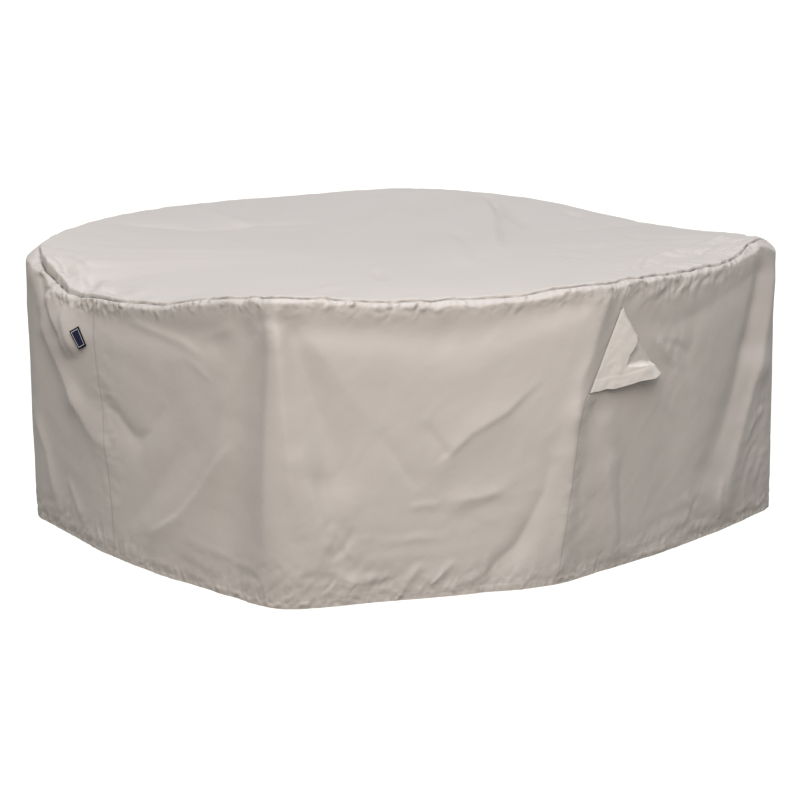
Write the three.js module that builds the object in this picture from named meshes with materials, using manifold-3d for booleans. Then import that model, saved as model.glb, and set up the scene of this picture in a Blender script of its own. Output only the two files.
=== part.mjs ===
// A fitted cover for a round patio dining set, as it hangs over the backs of the chairs round the table.
// Millimetres, +Z up. The front of the cover faces -Y, and its hem lies on the ground at z = 0.
import * as THREE from 'three';
import { mergeVertices } from 'three/addons/utils/BufferGeometryUtils.js';
import Module from 'manifold-3d';

const wasm = await Module();
wasm.setup();

// Cloth and sewing
const clothThickness = 2.2;
const hemThickness = 5;
const seamGap = 0.3;
const sliverSize = 0.1;

// The top sinks a little towards its middle, where only the table would be under it. The rim's broad rise
// and fall reaches far in, and its short bends fade close to the seam.
const middleHeight = 870;
const broadReach = 2.2;
const shortReach = 7;
const broadWidth = 0.45;

// How closely the cloth is divided
const columnsPerSide = 17;
const columnCrowding = 0.35;
const cornerWidth = 1150;

// One row for each place where the cloth is held out, from the left corner round by the front.
// x and y lie on the wall under the shoulder, footX and footY on the hem.
// round is the length over which the wall turns there, before and after the corner.
const corners = [
  { name: 'left', x: -1319, y: -190, footX: -1302, footY: -232, round: 120 },
  { name: 'front left', x: -396, y: -1288, footX: -400, footY: -1312, round: 60 },
  { name: 'front right', x: 575, y: -935, footX: 458, footY: -1060, round: 150 },
  { name: 'right', x: 1282, y: -115, footX: 1284, footY: -130, round: 130 },
  { name: 'back right', x: 905, y: 812, footX: 910, footY: 815, round: 260 },
  { name: 'back', x: 0, y: 1285, footX: 0, footY: 1285, round: 320 },
  { name: 'back left', x: -915, y: 905, footX: -915, footY: 905, round: 280 },
];

// One row for each side, from the corner of the same row to the next one.
// bulge and footBulge are how far the wall and the hem stand out of a straight line.
const sides = [
  { name: 'left', bulge: 24, footBulge: 56 },
  { name: 'front', bulge: 0, footBulge: 4 },
  { name: 'right', bulge: 14, footBulge: 32 },
  { name: 'right rear', bulge: 35, footBulge: 35 },
  { name: 'back right', bulge: 40, footBulge: 40 },
  { name: 'back left', bulge: 30, footBulge: 35 },
  { name: 'left rear', bulge: 40, footBulge: 40 },
];

// The rim seam, where the top is sewn to the skirt. u counts corners and the shares of the sides between
// them, z is the seam's height, and shoulder is the depth in which the skirt rolls over to the wall.
const rim = [
  { u: 0, z: 912, shoulder: 58 },
  { u: 0.1, z: 856, shoulder: 44 },
  { u: 0.25, z: 820, shoulder: 34 },
  { u: 0.45, z: 814, shoulder: 30 },
  { u: 0.62, z: 838, shoulder: 30 },
  { u: 0.76, z: 876, shoulder: 34 },
  { u: 0.9, z: 904, shoulder: 36 },
  { u: 1, z: 920, shoulder: 38 },
  { u: 1.12, z: 906, shoulder: 38 },
  { u: 1.4, z: 886, shoulder: 40 },
  { u: 1.75, z: 884, shoulder: 40 },
  { u: 2, z: 900, shoulder: 36 },
  { u: 2.5, z: 893, shoulder: 34 },
  { u: 2.85, z: 893, shoulder: 36 },
  { u: 3, z: 904, shoulder: 44 },
  { u: 3.3, z: 908, shoulder: 36 },
  { u: 3.6, z: 880, shoulder: 32 },
  { u: 4, z: 872, shoulder: 34 },
  { u: 4.5, z: 924, shoulder: 34 },
  { u: 5, z: 945, shoulder: 38 },
  { u: 5.5, z: 926, shoulder: 34 },
  { u: 6, z: 920, shoulder: 38 },
  { u: 6.5, z: 924, shoulder: 34 },
];

// Where the skirt's four panels are sewn together. u counts corners and the shares of the sides between them.
// lean is how far the seam's upper end lies from that, and straightens is where on the way down it ends.
const skirtSeams = [
  { name: 'left seam', u: 0.454, lean: -0.117, straightens: 1, spread: 0.3 },
  { name: 'vent seam', u: 2, lean: 0.144, straightens: 0.4, spread: 0.4 },
  { name: 'right rear seam', u: 3.9, lean: 0, straightens: 1, spread: 0.3 },
  { name: 'left rear seam', u: 5.5, lean: 0, straightens: 1, spread: 0.3 },
];

// The section of the top, from the middle out to the rim seam
const topRows = [0, 0.17, 0.34, 0.5, 0.64, 0.77, 0.88, 0.96, 1];

// The section of the skirt, from the rim seam to the hem. inset is the distance inside the wall,
// roll the share of the shoulder's depth, and down the share of the wall's height.
const skirtRows = [
  { inset: 26, roll: 0, down: 0, thickness: clothThickness },
  { inset: 9, roll: 0.3, down: 0, thickness: clothThickness },
  { inset: 0, roll: 1, down: 0, thickness: clothThickness },
  { inset: 0, roll: 1, down: 0.05, thickness: clothThickness },
  { inset: 0, roll: 1, down: 0.11, thickness: clothThickness },
  { inset: 0, roll: 1, down: 0.19, thickness: clothThickness },
  { inset: 0, roll: 1, down: 0.29, thickness: clothThickness },
  { inset: 0, roll: 1, down: 0.41, thickness: clothThickness },
  { inset: 0, roll: 1, down: 0.54, thickness: clothThickness },
  { inset: 0, roll: 1, down: 0.67, thickness: clothThickness },
  { inset: 0, roll: 1, down: 0.79, thickness: clothThickness },
  { inset: 0, roll: 1, down: 0.89, thickness: clothThickness },
  { inset: 0, roll: 1, down: 0.966, thickness: clothThickness },
  { inset: 0, roll: 1, down: 0.973, thickness: hemThickness },
  { inset: 0, roll: 1, down: 1, thickness: hemThickness },
];

// Ridges and troughs of the skirt. Each runs from u, z to toU, toZ, stands out by out, or in where it is
// negative, and is width wide at its start and toWidth at its end.
const skirtFolds = [
  { name: 'left swag', u: 0.34, z: 748, toU: 0.8, toZ: 770, out: -17, width: 50, toWidth: 50 },
  { name: 'left corner crest', u: 0.08, z: 830, toU: 0.2, toZ: 640, out: 20, width: 45, toWidth: 55 },
  { name: 'left long crease, upper', u: 0.13, z: 660, toU: 0.26, toZ: 457, out: 12, width: 40, toWidth: 45 },
  { name: 'left long crease, lower', u: 0.26, z: 457, toU: 0.4, toZ: 329, out: 12, width: 45, toWidth: 60 },
  { name: 'left low crease', u: 0.045, z: 367, toU: 0.15, toZ: 88, out: 9, width: 40, toWidth: 45 },
  { name: 'left bend, upper', u: 0.38, z: 487, toU: 0.526, toZ: 400, out: -9, width: 45, toWidth: 45 },
  { name: 'left bend, lower', u: 0.526, z: 400, toU: 0.64, toZ: 545, out: -9, width: 45, toWidth: 55 },
  { name: 'left diagonal trough', u: 0.707, z: 425, toU: 0.51, toZ: 120, out: -13, width: 55, toWidth: 60 },
  { name: 'left diagonal ridge', u: 0.864, z: 479, toU: 0.6, toZ: 130, out: 14, width: 40, toWidth: 50 },
  { name: 'fan left of the front', u: 0.95, z: 790, toU: 0.82, toZ: 360, out: 10, width: 40, toWidth: 70 },
  { name: 'left front hollow', u: 0.955, z: 820, toU: 0.905, toZ: 100, out: -15, width: 36, toWidth: 60 },
  { name: 'front left crest', u: 0.985, z: 820, toU: 0.962, toZ: 90, out: 14, width: 34, toWidth: 38 },
  { name: 'right front hollow', u: 1.05, z: 850, toU: 1.2, toZ: 400, out: -17, width: 40, toWidth: 75 },
  { name: 'front left flap', u: 1.08, z: 440, toU: 1.17, toZ: 150, out: 10, width: 40, toWidth: 45 },
  { name: 'front left pinch', u: 1.15, z: 370, toU: 1.25, toZ: 120, out: -13, width: 40, toWidth: 45 },
  { name: 'front swag, left', u: 1.1, z: 832, toU: 1.5, toZ: 790, out: -25, width: 44, toWidth: 58 },
  { name: 'front swag, right', u: 1.56, z: 790, toU: 1.95, toZ: 852, out: -25, width: 58, toWidth: 40 },
  { name: 'front middle bend', u: 1.56, z: 428, toU: 1.72, toZ: 536, out: 9, width: 50, toWidth: 60 },
  { name: 'front low lens', u: 1.6, z: 290, toU: 1.76, toZ: 308, out: 9, width: 36, toWidth: 36 },
  { name: 'front big fold, upper', u: 1.914, z: 420, toU: 1.84, toZ: 150, out: -20, width: 34, toWidth: 42 },
  { name: 'front big fold, lower', u: 1.84, z: 150, toU: 1.74, toZ: 10, out: -18, width: 42, toWidth: 45 },
  { name: 'front right panel', u: 1.95, z: 370, toU: 1.87, toZ: 60, out: 14, width: 45, toWidth: 55 },
  { name: 'right crest, upper', u: 2.03, z: 850, toU: 1.985, toZ: 520, out: 14, width: 45, toWidth: 45 },
  { name: 'right crest, lower', u: 1.985, z: 520, toU: 1.995, toZ: 60, out: 14, width: 45, toWidth: 45 },
  { name: 'under the vent, left', u: 2.05, z: 500, toU: 2.07, toZ: 60, out: -12, width: 45, toWidth: 50 },
  { name: 'under the vent, ridge', u: 2.12, z: 470, toU: 2.2, toZ: 60, out: 12, width: 50, toWidth: 50 },
  { name: 'right middle hollow', u: 2.36, z: 600, toU: 2.4, toZ: 120, out: -10, width: 80, toWidth: 80 },
  { name: 'right swag, left', u: 2.24, z: 765, toU: 2.5, toZ: 752, out: -20, width: 48, toWidth: 52 },
  { name: 'right swag, right', u: 2.5, z: 752, toU: 2.86, toZ: 852, out: -24, width: 52, toWidth: 44 },
  { name: 'right gloss ridge, upper', u: 2.87, z: 780, toU: 2.83, toZ: 540, out: 18, width: 45, toWidth: 50 },
  { name: 'right gloss ridge, lower', u: 2.83, z: 540, toU: 2.68, toZ: 100, out: 20, width: 50, toWidth: 55 },
  { name: 'right hollow', u: 2.79, z: 650, toU: 2.6, toZ: 230, out: -15, width: 50, toWidth: 65 },
  { name: 'right rear swag', u: 3.18, z: 800, toU: 3.84, toZ: 790, out: -22, width: 55, toWidth: 55 },
  { name: 'right rear fan', u: 3.12, z: 800, toU: 3.3, toZ: 120, out: -14, width: 45, toWidth: 75 },
  { name: 'right rear ridge', u: 3.52, z: 620, toU: 3.6, toZ: 80, out: 13, width: 70, toWidth: 60 },
  { name: 'back right fan, near', u: 3.9, z: 790, toU: 3.8, toZ: 160, out: -14, width: 45, toWidth: 70 },
  { name: 'back right crest', u: 4, z: 800, toU: 4.02, toZ: 60, out: 13, width: 60, toWidth: 70 },
  { name: 'back right swag', u: 4.18, z: 800, toU: 4.82, toZ: 850, out: -22, width: 55, toWidth: 55 },
  { name: 'back right fan, far', u: 4.12, z: 780, toU: 4.25, toZ: 200, out: -12, width: 45, toWidth: 70 },
  { name: 'back right diagonal', u: 4.8, z: 700, toU: 4.5, toZ: 150, out: 13, width: 50, toWidth: 65 },
  { name: 'back crest', u: 5, z: 870, toU: 4.98, toZ: 60, out: 15, width: 60, toWidth: 75 },
  { name: 'back fan', u: 5.1, z: 850, toU: 5.22, toZ: 200, out: -13, width: 45, toWidth: 75 },
  { name: 'back left swag', u: 5.16, z: 850, toU: 5.84, toZ: 835, out: -22, width: 55, toWidth: 55 },
  { name: 'back left ridge', u: 5.45, z: 640, toU: 5.55, toZ: 80, out: 12, width: 70, toWidth: 60 },
  { name: 'back left crest', u: 6, z: 840, toU: 6.02, toZ: 60, out: 14, width: 60, toWidth: 70 },
  { name: 'back left fan', u: 5.9, z: 820, toU: 5.78, toZ: 180, out: -13, width: 45, toWidth: 70 },
  { name: 'left rear swag', u: 6.16, z: 840, toU: 6.84, toZ: 825, out: -22, width: 55, toWidth: 55 },
  { name: 'left rear diagonal', u: 6.2, z: 760, toU: 6.5, toZ: 150, out: 12, width: 50, toWidth: 65 },
  { name: 'left rear fan', u: 6.9, z: 800, toU: 6.76, toZ: 120, out: -14, width: 45, toWidth: 75 },
];

// Ridges and troughs of the top, seen from above. Each runs from x, y to toX, toY and rises by out.
const topFolds = [
  { name: 'rear trough', x: 320, y: 1100, toX: 345, toY: 250, out: -15, width: 60, toWidth: 45 },
  { name: 'rear ridge', x: 420, y: 1000, toX: 520, toY: 500, out: 9, width: 70, toWidth: 60 },
  { name: 'middle trough', x: 189, y: 404, toX: 189, toY: -511, out: -9, width: 60, toWidth: 55 },
  { name: 'left long trough', x: -1060, y: 360, toX: -590, toY: 520, out: -9, width: 60, toWidth: 60 },
  { name: 'left low ridge', x: -1080, y: -180, toX: -420, toY: -60, out: 8, width: 80, toWidth: 90 },
  { name: 'right front bump', x: 740, y: -440, toX: 815, toY: -300, out: 9, width: 60, toWidth: 60 },
  { name: 'right trough', x: 560, y: 60, toX: 1000, toY: 150, out: -10, width: 70, toWidth: 70 },
];

// The vent hood is a flap sewn into the vent seam, open at its lower edge. across is its width as a share
// of the right side, and down the share of the wall's height at its point and along its lower edge.
const hood = {
  pointDown: 0.015,
  leftDown: 0.345,
  rightDown: 0.325,
  pointAcross: 0.02,
  footAcross: 0.305,
  swell: 0.035,
  standOff: 34,
  dent: 12,
  sunk: 1,
  thickness: 2,
  rows: 9,
  columns: 9,
};

// The woven label at the left corner, which hangs crooked
const label = {
  u: 0.376,
  down: 0.15,
  width: 46,
  height: 72,
  tilt: 32,
  sunk: 1.5,
  thickness: 2.8,
  rows: 4,
  columns: 3,
};

const clamp = THREE.MathUtils.clamp;
const lerp = THREE.MathUtils.lerp;
const wrap = (index, count) => ((index % count) + count) % count;

function cornerPoint(index, foot) {
  const corner = corners[wrap(index, corners.length)];
  return new THREE.Vector2(lerp(corner.x, corner.footX, foot), lerp(corner.y, corner.footY, foot));
}

function roundedCorner(before, corner, after, round, share) {
  const start = before.clone().sub(corner).setLength(round).add(corner);
  const end = after.clone().sub(corner).setLength(round).add(corner);
  return new THREE.QuadraticBezierCurve(start, corner, end).getPoint(share);
}

// The wall's line in plan. foot is 0 under the shoulder and 1 at the hem.
function planPoint(u, foot) {
  const side = Math.floor(u);
  const along = u - side;
  const start = cornerPoint(side, foot);
  const end = cornerPoint(side + 1, foot);
  const length = start.distanceTo(end);
  const startRound = corners[wrap(side, corners.length)].round;
  const endRound = corners[wrap(side + 1, corners.length)].round;
  let point = start.clone().lerp(end, along);
  if (along < startRound / length) {
    const share = 0.5 + 0.5 * along * length / startRound;
    point = roundedCorner(cornerPoint(side - 1, foot), start, end, startRound, share);
  } else if (along > 1 - endRound / length) {
    const share = 0.5 * (1 - (1 - along) * length / endRound);
    point = roundedCorner(start, end, cornerPoint(side + 2, foot), endRound, share);
  }
  const { bulge, footBulge } = sides[wrap(side, sides.length)];
  const out = end.sub(start).normalize();
  const stand = lerp(bulge, footBulge, foot) * Math.sin(Math.PI * along) ** 2;
  return point.add(new THREE.Vector2(out.y, -out.x).multiplyScalar(stand));
}

function planOutward(u, foot) {
  const step = 0.01;
  const along = planPoint(u + step, foot).sub(planPoint(u - step, foot)).normalize();
  return new THREE.Vector2(along.y, -along.x);
}

// A value of the rim's table at any place round it, on a smooth line through the rows
function rimValue(u, column) {
  const place = wrap(u, corners.length);
  let at = rim.length - 1;
  while (rim[at].u > place) {
    at -= 1;
  }
  const row = (index) => rim[wrap(index, rim.length)];
  const rowPlace = (index) => row(index).u + Math.floor(index / rim.length) * corners.length;
  const slope = (index) => (row(index + 1)[column] - row(index - 1)[column])
    / (rowPlace(index + 1) - rowPlace(index - 1));
  const gap = rowPlace(at + 1) - rowPlace(at);
  const share = (place - rowPlace(at)) / gap;
  const ease = THREE.MathUtils.smoothstep(share, 0, 1);
  const lift = share * (1 - share) * gap * (slope(at) * (1 - share) - slope(at + 1) * share);
  return lerp(row(at)[column], row(at + 1)[column], ease) + lift;
}

// The height of a ridge at a point: full on the line from start to end, and fading away from it
function foldHeight(fold, point, start, end) {
  const run = end.clone().sub(start);
  const share = clamp(point.clone().sub(start).dot(run) / run.lengthSq(), 0, 1);
  const distance = point.distanceTo(start.clone().addScaledVector(run, share));
  return fold.out * Math.exp(-((distance / lerp(fold.width, fold.toWidth, share)) ** 2));
}

function skirtRelief(u, z) {
  let relief = 0;
  for (const fold of skirtFolds) {
    const start = new THREE.Vector2(fold.u * cornerWidth, fold.z);
    const end = new THREE.Vector2(fold.toU * cornerWidth, fold.toZ);
    relief += foldHeight(fold, new THREE.Vector2(u * cornerWidth, z), start, end);
  }
  return relief;
}

function topRelief(x, y) {
  let relief = 0;
  for (const fold of topFolds) {
    const start = new THREE.Vector2(fold.x, fold.y);
    relief += foldHeight(fold, new THREE.Vector2(x, y), start, new THREE.Vector2(fold.toX, fold.toY));
  }
  return relief;
}

// How far the cloth is pulled along the wall by the seams that lean
function leaning(u, down) {
  let shift = 0;
  for (const seam of skirtSeams) {
    const near = Math.exp(-(((u - seam.u) / seam.spread) ** 2));
    shift += seam.lean * near * clamp(1 - down / seam.straightens, 0, 1);
  }
  return shift;
}

function skirtPoint(clothU, row) {
  const u = clothU + leaning(clothU, row.down);
  const z = (rimValue(u, 'z') - row.roll * rimValue(u, 'shoulder')) * (1 - row.down);
  const out = skirtRelief(u, z) - row.inset;
  const plan = planPoint(u, row.down).addScaledVector(planOutward(u, row.down), out);
  return new THREE.Vector3(plan.x, plan.y, z);
}

// The rim's height, evened out over a part of a side
function broadRim(u) {
  const offsets = [-1, -0.6, -0.3, 0, 0.3, 0.6, 1];
  const heights = offsets.map((offset) => rimValue(u + offset * broadWidth, 'z'));
  return heights.reduce((sum, height) => sum + height, 0) / heights.length;
}

function topPoint(clothU, share) {
  const rim = skirtPoint(clothU, skirtRows[0]);
  const broad = broadRim(clothU);
  const z = lerp(middleHeight, broad, share ** broadReach) + (rim.z - broad) * share ** shortReach;
  const lift = topRelief(rim.x * share, rim.y * share) * Math.sin(Math.PI * share ** 1.5) ** 0.6;
  return new THREE.Vector3(rim.x * share, rim.y * share, z + lift);
}

// The columns of the cloth lie closer together near the corners
function columnPlace(column) {
  const side = Math.floor(column / columnsPerSide);
  const along = column / columnsPerSide - side;
  return side + along - columnCrowding * Math.sin(2 * Math.PI * along) / (2 * Math.PI);
}

const columnCount = corners.length * columnsPerSide;
const rimRow = topRows.length - 1;
const rowCount = topRows.length + skirtRows.length - 1;
const cloth = [];
for (let row = 0; row < rowCount; row += 1) {
  cloth.push([]);
  for (let column = 0; column < columnCount; column += 1) {
    const u = columnPlace(column);
    const point = row < rimRow ? topPoint(u, topRows[row]) : skirtPoint(u, skirtRows[row - rimRow]);
    cloth[row].push(point);
  }
}

function clothPoint(row, column) {
  return cloth[clamp(row, 0, rowCount - 1)][wrap(column, columnCount)];
}

// The direction that faces out of the cloth. It is upright in the middle and level at the hem.
function clothOutward(row, column) {
  if (row === 0) {
    return new THREE.Vector3(0, 0, 1);
  }
  const down = clothPoint(row + 1, column).clone().sub(clothPoint(row - 1, column));
  const along = clothPoint(row, column + 1).clone().sub(clothPoint(row, column - 1));
  const outward = down.cross(along);
  if (row === rowCount - 1) {
    outward.z = 0;
  }
  return outward.normalize();
}

// A closed sheet of cloth from its outer and inner points, one list of places for each row. A sheet that
// joins itself goes all the way round, and its first row is one point in the middle.
function sheetGeometry(outer, inner, joinsItself) {
  const rows = outer.length;
  const columns = outer[0].length;
  const places = [...outer.flat(), ...inner.flat()];
  const triangles = [];
  const outerAt = (row, column) => row * columns + wrap(column, columns);
  const innerAt = (row, column) => rows * columns + outerAt(row, column);
  const quad = (a, b, c, d) => triangles.push(a, b, c, a, c, d);
  const lastColumn = joinsItself ? columns : columns - 1;
  for (let column = 0; column < lastColumn; column += 1) {
    for (let row = 0; row < rows - 1; row += 1) {
      const [below, beside] = [row + 1, column + 1];
      quad(outerAt(row, column), outerAt(below, column), outerAt(below, beside), outerAt(row, beside));
      quad(innerAt(row, column), innerAt(row, beside), innerAt(below, beside), innerAt(below, column));
    }
    const last = rows - 1;
    quad(outerAt(last, column), innerAt(last, column), innerAt(last, column + 1), outerAt(last, column + 1));
    if (!joinsItself) {
      quad(outerAt(0, column), outerAt(0, column + 1), innerAt(0, column + 1), innerAt(0, column));
    }
  }
  if (!joinsItself) {
    for (let row = 0; row < rows - 1; row += 1) {
      const right = columns - 1;
      quad(outerAt(row, 0), innerAt(row, 0), innerAt(row + 1, 0), outerAt(row + 1, 0));
      quad(outerAt(row, right), outerAt(row + 1, right), innerAt(row + 1, right), innerAt(row, right));
    }
  }
  return weldedGeometry(places, triangles);
}

// Merges the points that coincide, and leaves out the triangles that this makes empty
function weldedGeometry(places, triangles) {
  const loose = new THREE.BufferGeometry().setFromPoints(places);
  loose.setIndex(triangles);
  const welded = mergeVertices(loose, 1e-3);
  const index = welded.getIndex().array;
  const kept = [];
  for (let at = 0; at < index.length; at += 3) {
    const [a, b, c] = [index[at], index[at + 1], index[at + 2]];
    if (a !== b && b !== c && a !== c) {
      kept.push(a, b, c);
    }
  }
  welded.setIndex(kept);
  return welded;
}

// A part of the cloth as its own solid, drawn back by half of the seam's gap where it is sewn to the next
function panelGeometry(firstRow, lastRow, firstColumn, lastColumn, joinsItself) {
  const outer = [];
  const inner = [];
  for (let row = firstRow; row <= lastRow; row += 1) {
    outer.push([]);
    inner.push([]);
    for (let column = firstColumn; column <= lastColumn; column += 1) {
      const point = clothPoint(row, column).clone();
      const drawTo = (nextRow, nextColumn) => {
        const away = clothPoint(nextRow, nextColumn).clone().sub(clothPoint(row, column));
        point.add(away.setLength(seamGap / 2));
      };
      if (row === rimRow) {
        drawTo(row + (firstRow === rimRow ? 1 : -1), column);
      }
      if (!joinsItself && column === firstColumn) {
        drawTo(row, column + 1);
      }
      if (!joinsItself && column === lastColumn) {
        drawTo(row, column - 1);
      }
      const thickness = row < rimRow ? clothThickness : skirtRows[row - rimRow].thickness;
      outer[outer.length - 1].push(point);
      inner[inner.length - 1].push(point.clone().addScaledVector(clothOutward(row, column), -thickness));
    }
  }
  return sheetGeometry(outer, inner, joinsItself);
}

// A solid a little larger than the cloth. It trims what is sewn to the skirt to the skirt's own facets.
function trimmingGeometry(depth) {
  const moved = (distance) => cloth.map((places, row) => places.map((place, column) => (
    place.clone().addScaledVector(clothOutward(row, column), distance))));
  return sheetGeometry(moved(seamGap), moved(-depth), true);
}

function toManifold(geometry) {
  const mesh = new wasm.Mesh({
    numProp: 3,
    vertProperties: new Float32Array(geometry.getAttribute('position').array),
    triVerts: new Uint32Array(geometry.getIndex().array),
  });
  return new wasm.Manifold(mesh);
}

function toGeometry(manifold) {
  const { vertProperties, triVerts } = manifold.getMesh();
  const geometry = new THREE.BufferGeometry();
  geometry.setAttribute('position', new THREE.BufferAttribute(vertProperties, 3));
  geometry.setIndex(new THREE.BufferAttribute(triVerts, 1));
  return geometry;
}

// A place on the flat facets of the skirt's wall, and the direction out of the cloth there
function onFacets(clothU, down) {
  let column = 0;
  while (columnPlace(column + 1) < clothU) {
    column += 1;
  }
  let row = 2;
  while (skirtRows[row + 1].down < down) {
    row += 1;
  }
  const across = (clothU - columnPlace(column)) / (columnPlace(column + 1) - columnPlace(column));
  const below = (down - skirtRows[row].down) / (skirtRows[row + 1].down - skirtRows[row].down);
  const at = rimRow + row;
  const blend = (value) => {
    const [start, end] = [value(at, column), value(at + 1, column + 1)];
    const corner = below > across ? value(at + 1, column) : value(at, column + 1);
    const [first, last] = below > across ? [below, across] : [across, below];
    const placed = start.clone().addScaledVector(corner.clone().sub(start), first);
    return placed.addScaledVector(end.clone().sub(corner), last);
  };
  return { place: blend(clothPoint), outward: blend(clothOutward).normalize() };
}

// A piece of cloth that lies over the skirt, with across and along running from 0 to 1 over it. It is cut
// back to the skirt's facets, and slivers left by the cut are closed.
function patchGeometry(piece, place, lift) {
  const outer = [];
  const inner = [];
  for (let row = 0; row < piece.rows; row += 1) {
    outer.push([]);
    inner.push([]);
    for (let column = 0; column < piece.columns; column += 1) {
      const across = column / (piece.columns - 1);
      const along = row / (piece.rows - 1);
      const { u, down } = place(across, along);
      const facet = onFacets(u, down);
      const under = facet.place.addScaledVector(facet.outward, lift(across, along) - piece.sunk);
      inner[row].push(under);
      outer[row].push(under.clone().addScaledVector(facet.outward, piece.thickness));
    }
  }
  const trimmed = toManifold(sheetGeometry(outer, inner, false)).subtract(trimmer);
  return toGeometry(trimmed.asOriginal().simplify(sliverSize));
}

function hoodPlace(across, along) {
  const swell = hood.swell * Math.sin(Math.PI * along ** 1.5);
  const width = lerp(hood.pointAcross, hood.footAcross, along) + swell;
  const foot = lerp(hood.leftDown, hood.rightDown, across);
  return { u: ventSeamU + across * width, down: lerp(hood.pointDown, foot, along) };
}

function hoodLift(across, along) {
  const dent = Math.exp(-(((across - 0.72) / 0.2) ** 2) - ((along - 0.6) / 0.22) ** 2);
  return along * (hood.standOff * Math.sin(Math.PI * across) ** 0.8 - hood.dent * dent);
}

function labelPlace(across, along) {
  const side = (across - 0.5) * label.width;
  const below = (along - 0.5) * label.height;
  const tilt = THREE.MathUtils.degToRad(label.tilt);
  const sideLength = cornerPoint(0, 0).distanceTo(cornerPoint(1, 0));
  return {
    u: label.u + (side * Math.cos(tilt) + below * Math.sin(tilt)) / sideLength,
    down: label.down + (below * Math.cos(tilt) - side * Math.sin(tilt)) / rimValue(label.u, 'z'),
  };
}

const coverMaterial = new THREE.MeshStandardMaterial({ color: 0xbdb5ac, roughness: 0.5, metalness: 0 });
const labelMaterial = new THREE.MeshStandardMaterial({ color: 0x17171c, roughness: 0.8, metalness: 0 });

function namedMesh(name, geometry, material) {
  geometry.computeVertexNormals();
  const mesh = new THREE.Mesh(geometry, material);
  mesh.name = name;
  return mesh;
}

function nearestColumn(u) {
  let best = 0;
  for (let column = 0; column < columnCount; column += 1) {
    if (Math.abs(columnPlace(column) - u) < Math.abs(columnPlace(best) - u)) {
      best = column;
    }
  }
  return best;
}

const seamColumns = skirtSeams.map((seam) => nearestColumn(seam.u));
const ventSeamU = columnPlace(seamColumns[1]);
const trimmer = toManifold(trimmingGeometry(12));

const cover = new THREE.Group();
cover.add(namedMesh('top_panel', panelGeometry(0, rimRow, 0, columnCount - 1, true), coverMaterial));

const panelNames = ['skirt_front', 'skirt_right', 'skirt_back', 'skirt_left'];
panelNames.forEach((name, at) => {
  const first = seamColumns[at];
  const next = seamColumns[wrap(at + 1, seamColumns.length)];
  const last = next > first ? next : next + columnCount;
  cover.add(namedMesh(name, panelGeometry(rimRow, rowCount - 1, first, last, false), coverMaterial));
});

cover.add(namedMesh('vent_hood', patchGeometry(hood, hoodPlace, hoodLift), coverMaterial));
cover.add(namedMesh('label', patchGeometry(label, labelPlace, () => 0), labelMaterial));

// The frame's origin is on the ground, under the middle of the cover's box
const middle = new THREE.Box3().setFromObject(cover).getCenter(new THREE.Vector3());
cover.position.set(-middle.x, -middle.y, 0);

export default cover;
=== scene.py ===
# %% [markdown]
# # A fitted cover over a round patio dining set
#
# The cover is five large pieces of coated polyester cloth: a flat top and four skirt panels. Its maker sews
# them inside out along the rim and down the sides, and adds a hood over a vent and a woven label. It hangs
# over the backs of the chairs that stand round the table. Nothing else holds it, so its shape is all folds.
#
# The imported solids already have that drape, but only with large facets. Each is replaced here by a thin, fine
# sheet that lies in the same place and has the small creases, puckers and stitches too.

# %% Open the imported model
import math
import random
from collections import namedtuple

import bmesh
import bpy
import numpy as np
from mathutils import Matrix, Vector, noise


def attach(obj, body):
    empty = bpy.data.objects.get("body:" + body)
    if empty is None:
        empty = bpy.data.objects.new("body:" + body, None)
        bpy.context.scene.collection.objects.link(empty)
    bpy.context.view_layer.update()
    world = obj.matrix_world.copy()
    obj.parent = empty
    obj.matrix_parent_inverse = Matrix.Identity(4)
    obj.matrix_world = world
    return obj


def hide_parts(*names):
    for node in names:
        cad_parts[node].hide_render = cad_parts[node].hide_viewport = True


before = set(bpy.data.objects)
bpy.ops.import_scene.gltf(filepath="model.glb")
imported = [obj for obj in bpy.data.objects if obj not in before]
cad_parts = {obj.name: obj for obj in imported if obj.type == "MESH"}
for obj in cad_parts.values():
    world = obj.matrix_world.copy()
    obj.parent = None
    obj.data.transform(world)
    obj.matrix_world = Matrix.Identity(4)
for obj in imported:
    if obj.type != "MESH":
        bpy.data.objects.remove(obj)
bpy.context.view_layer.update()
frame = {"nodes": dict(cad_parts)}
print("solids:", ", ".join(frame["nodes"]))

# %% [markdown]
# ## Camera
#
# The photograph was taken from about seven metres away, a little above the height of the eyes, with a longer
# lens. The camera looks along +Y and slightly down.

# %% Place the camera
CAMERA_PLACE = (-0.0057, -7.3234, 1.965)
LOOKS_DOWN = math.radians(12.4)
LENS = 96.75


def placed(name, data):
    """Adds an object to the scene for its camera, its lamp or its mesh."""
    made = bpy.data.objects.new(name, data)
    bpy.context.scene.collection.objects.link(made)
    return made


camera_data = bpy.data.cameras.new("camera")
camera_data.sensor_width = 36
camera_data.lens = LENS
camera = placed("camera", camera_data)
camera.location = CAMERA_PLACE
camera.rotation_euler = (math.radians(90) - LOOKS_DOWN, 0, 0)
bpy.context.scene.camera = camera
print("the camera stands at", CAMERA_PLACE, "with a lens of", LENS, "mm")

# %% [markdown]
# ## Tables of the drape
#
# A fitted cover is easiest to describe as a wall that goes round in plan and leans a little. The tables are
# in millimetres. A place round the cover, u, is counted in sides: 0 is the left corner, 1 the front left one,
# 2 the front right one, and 3 the right one. The three corners behind don't show, and are rounder.

# %% The wall's plan and the rim
MM = 0.001

# The middle of the tables, seen from the middle of the cover's box
MIDDLE = (23.33, 33.61)

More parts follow.
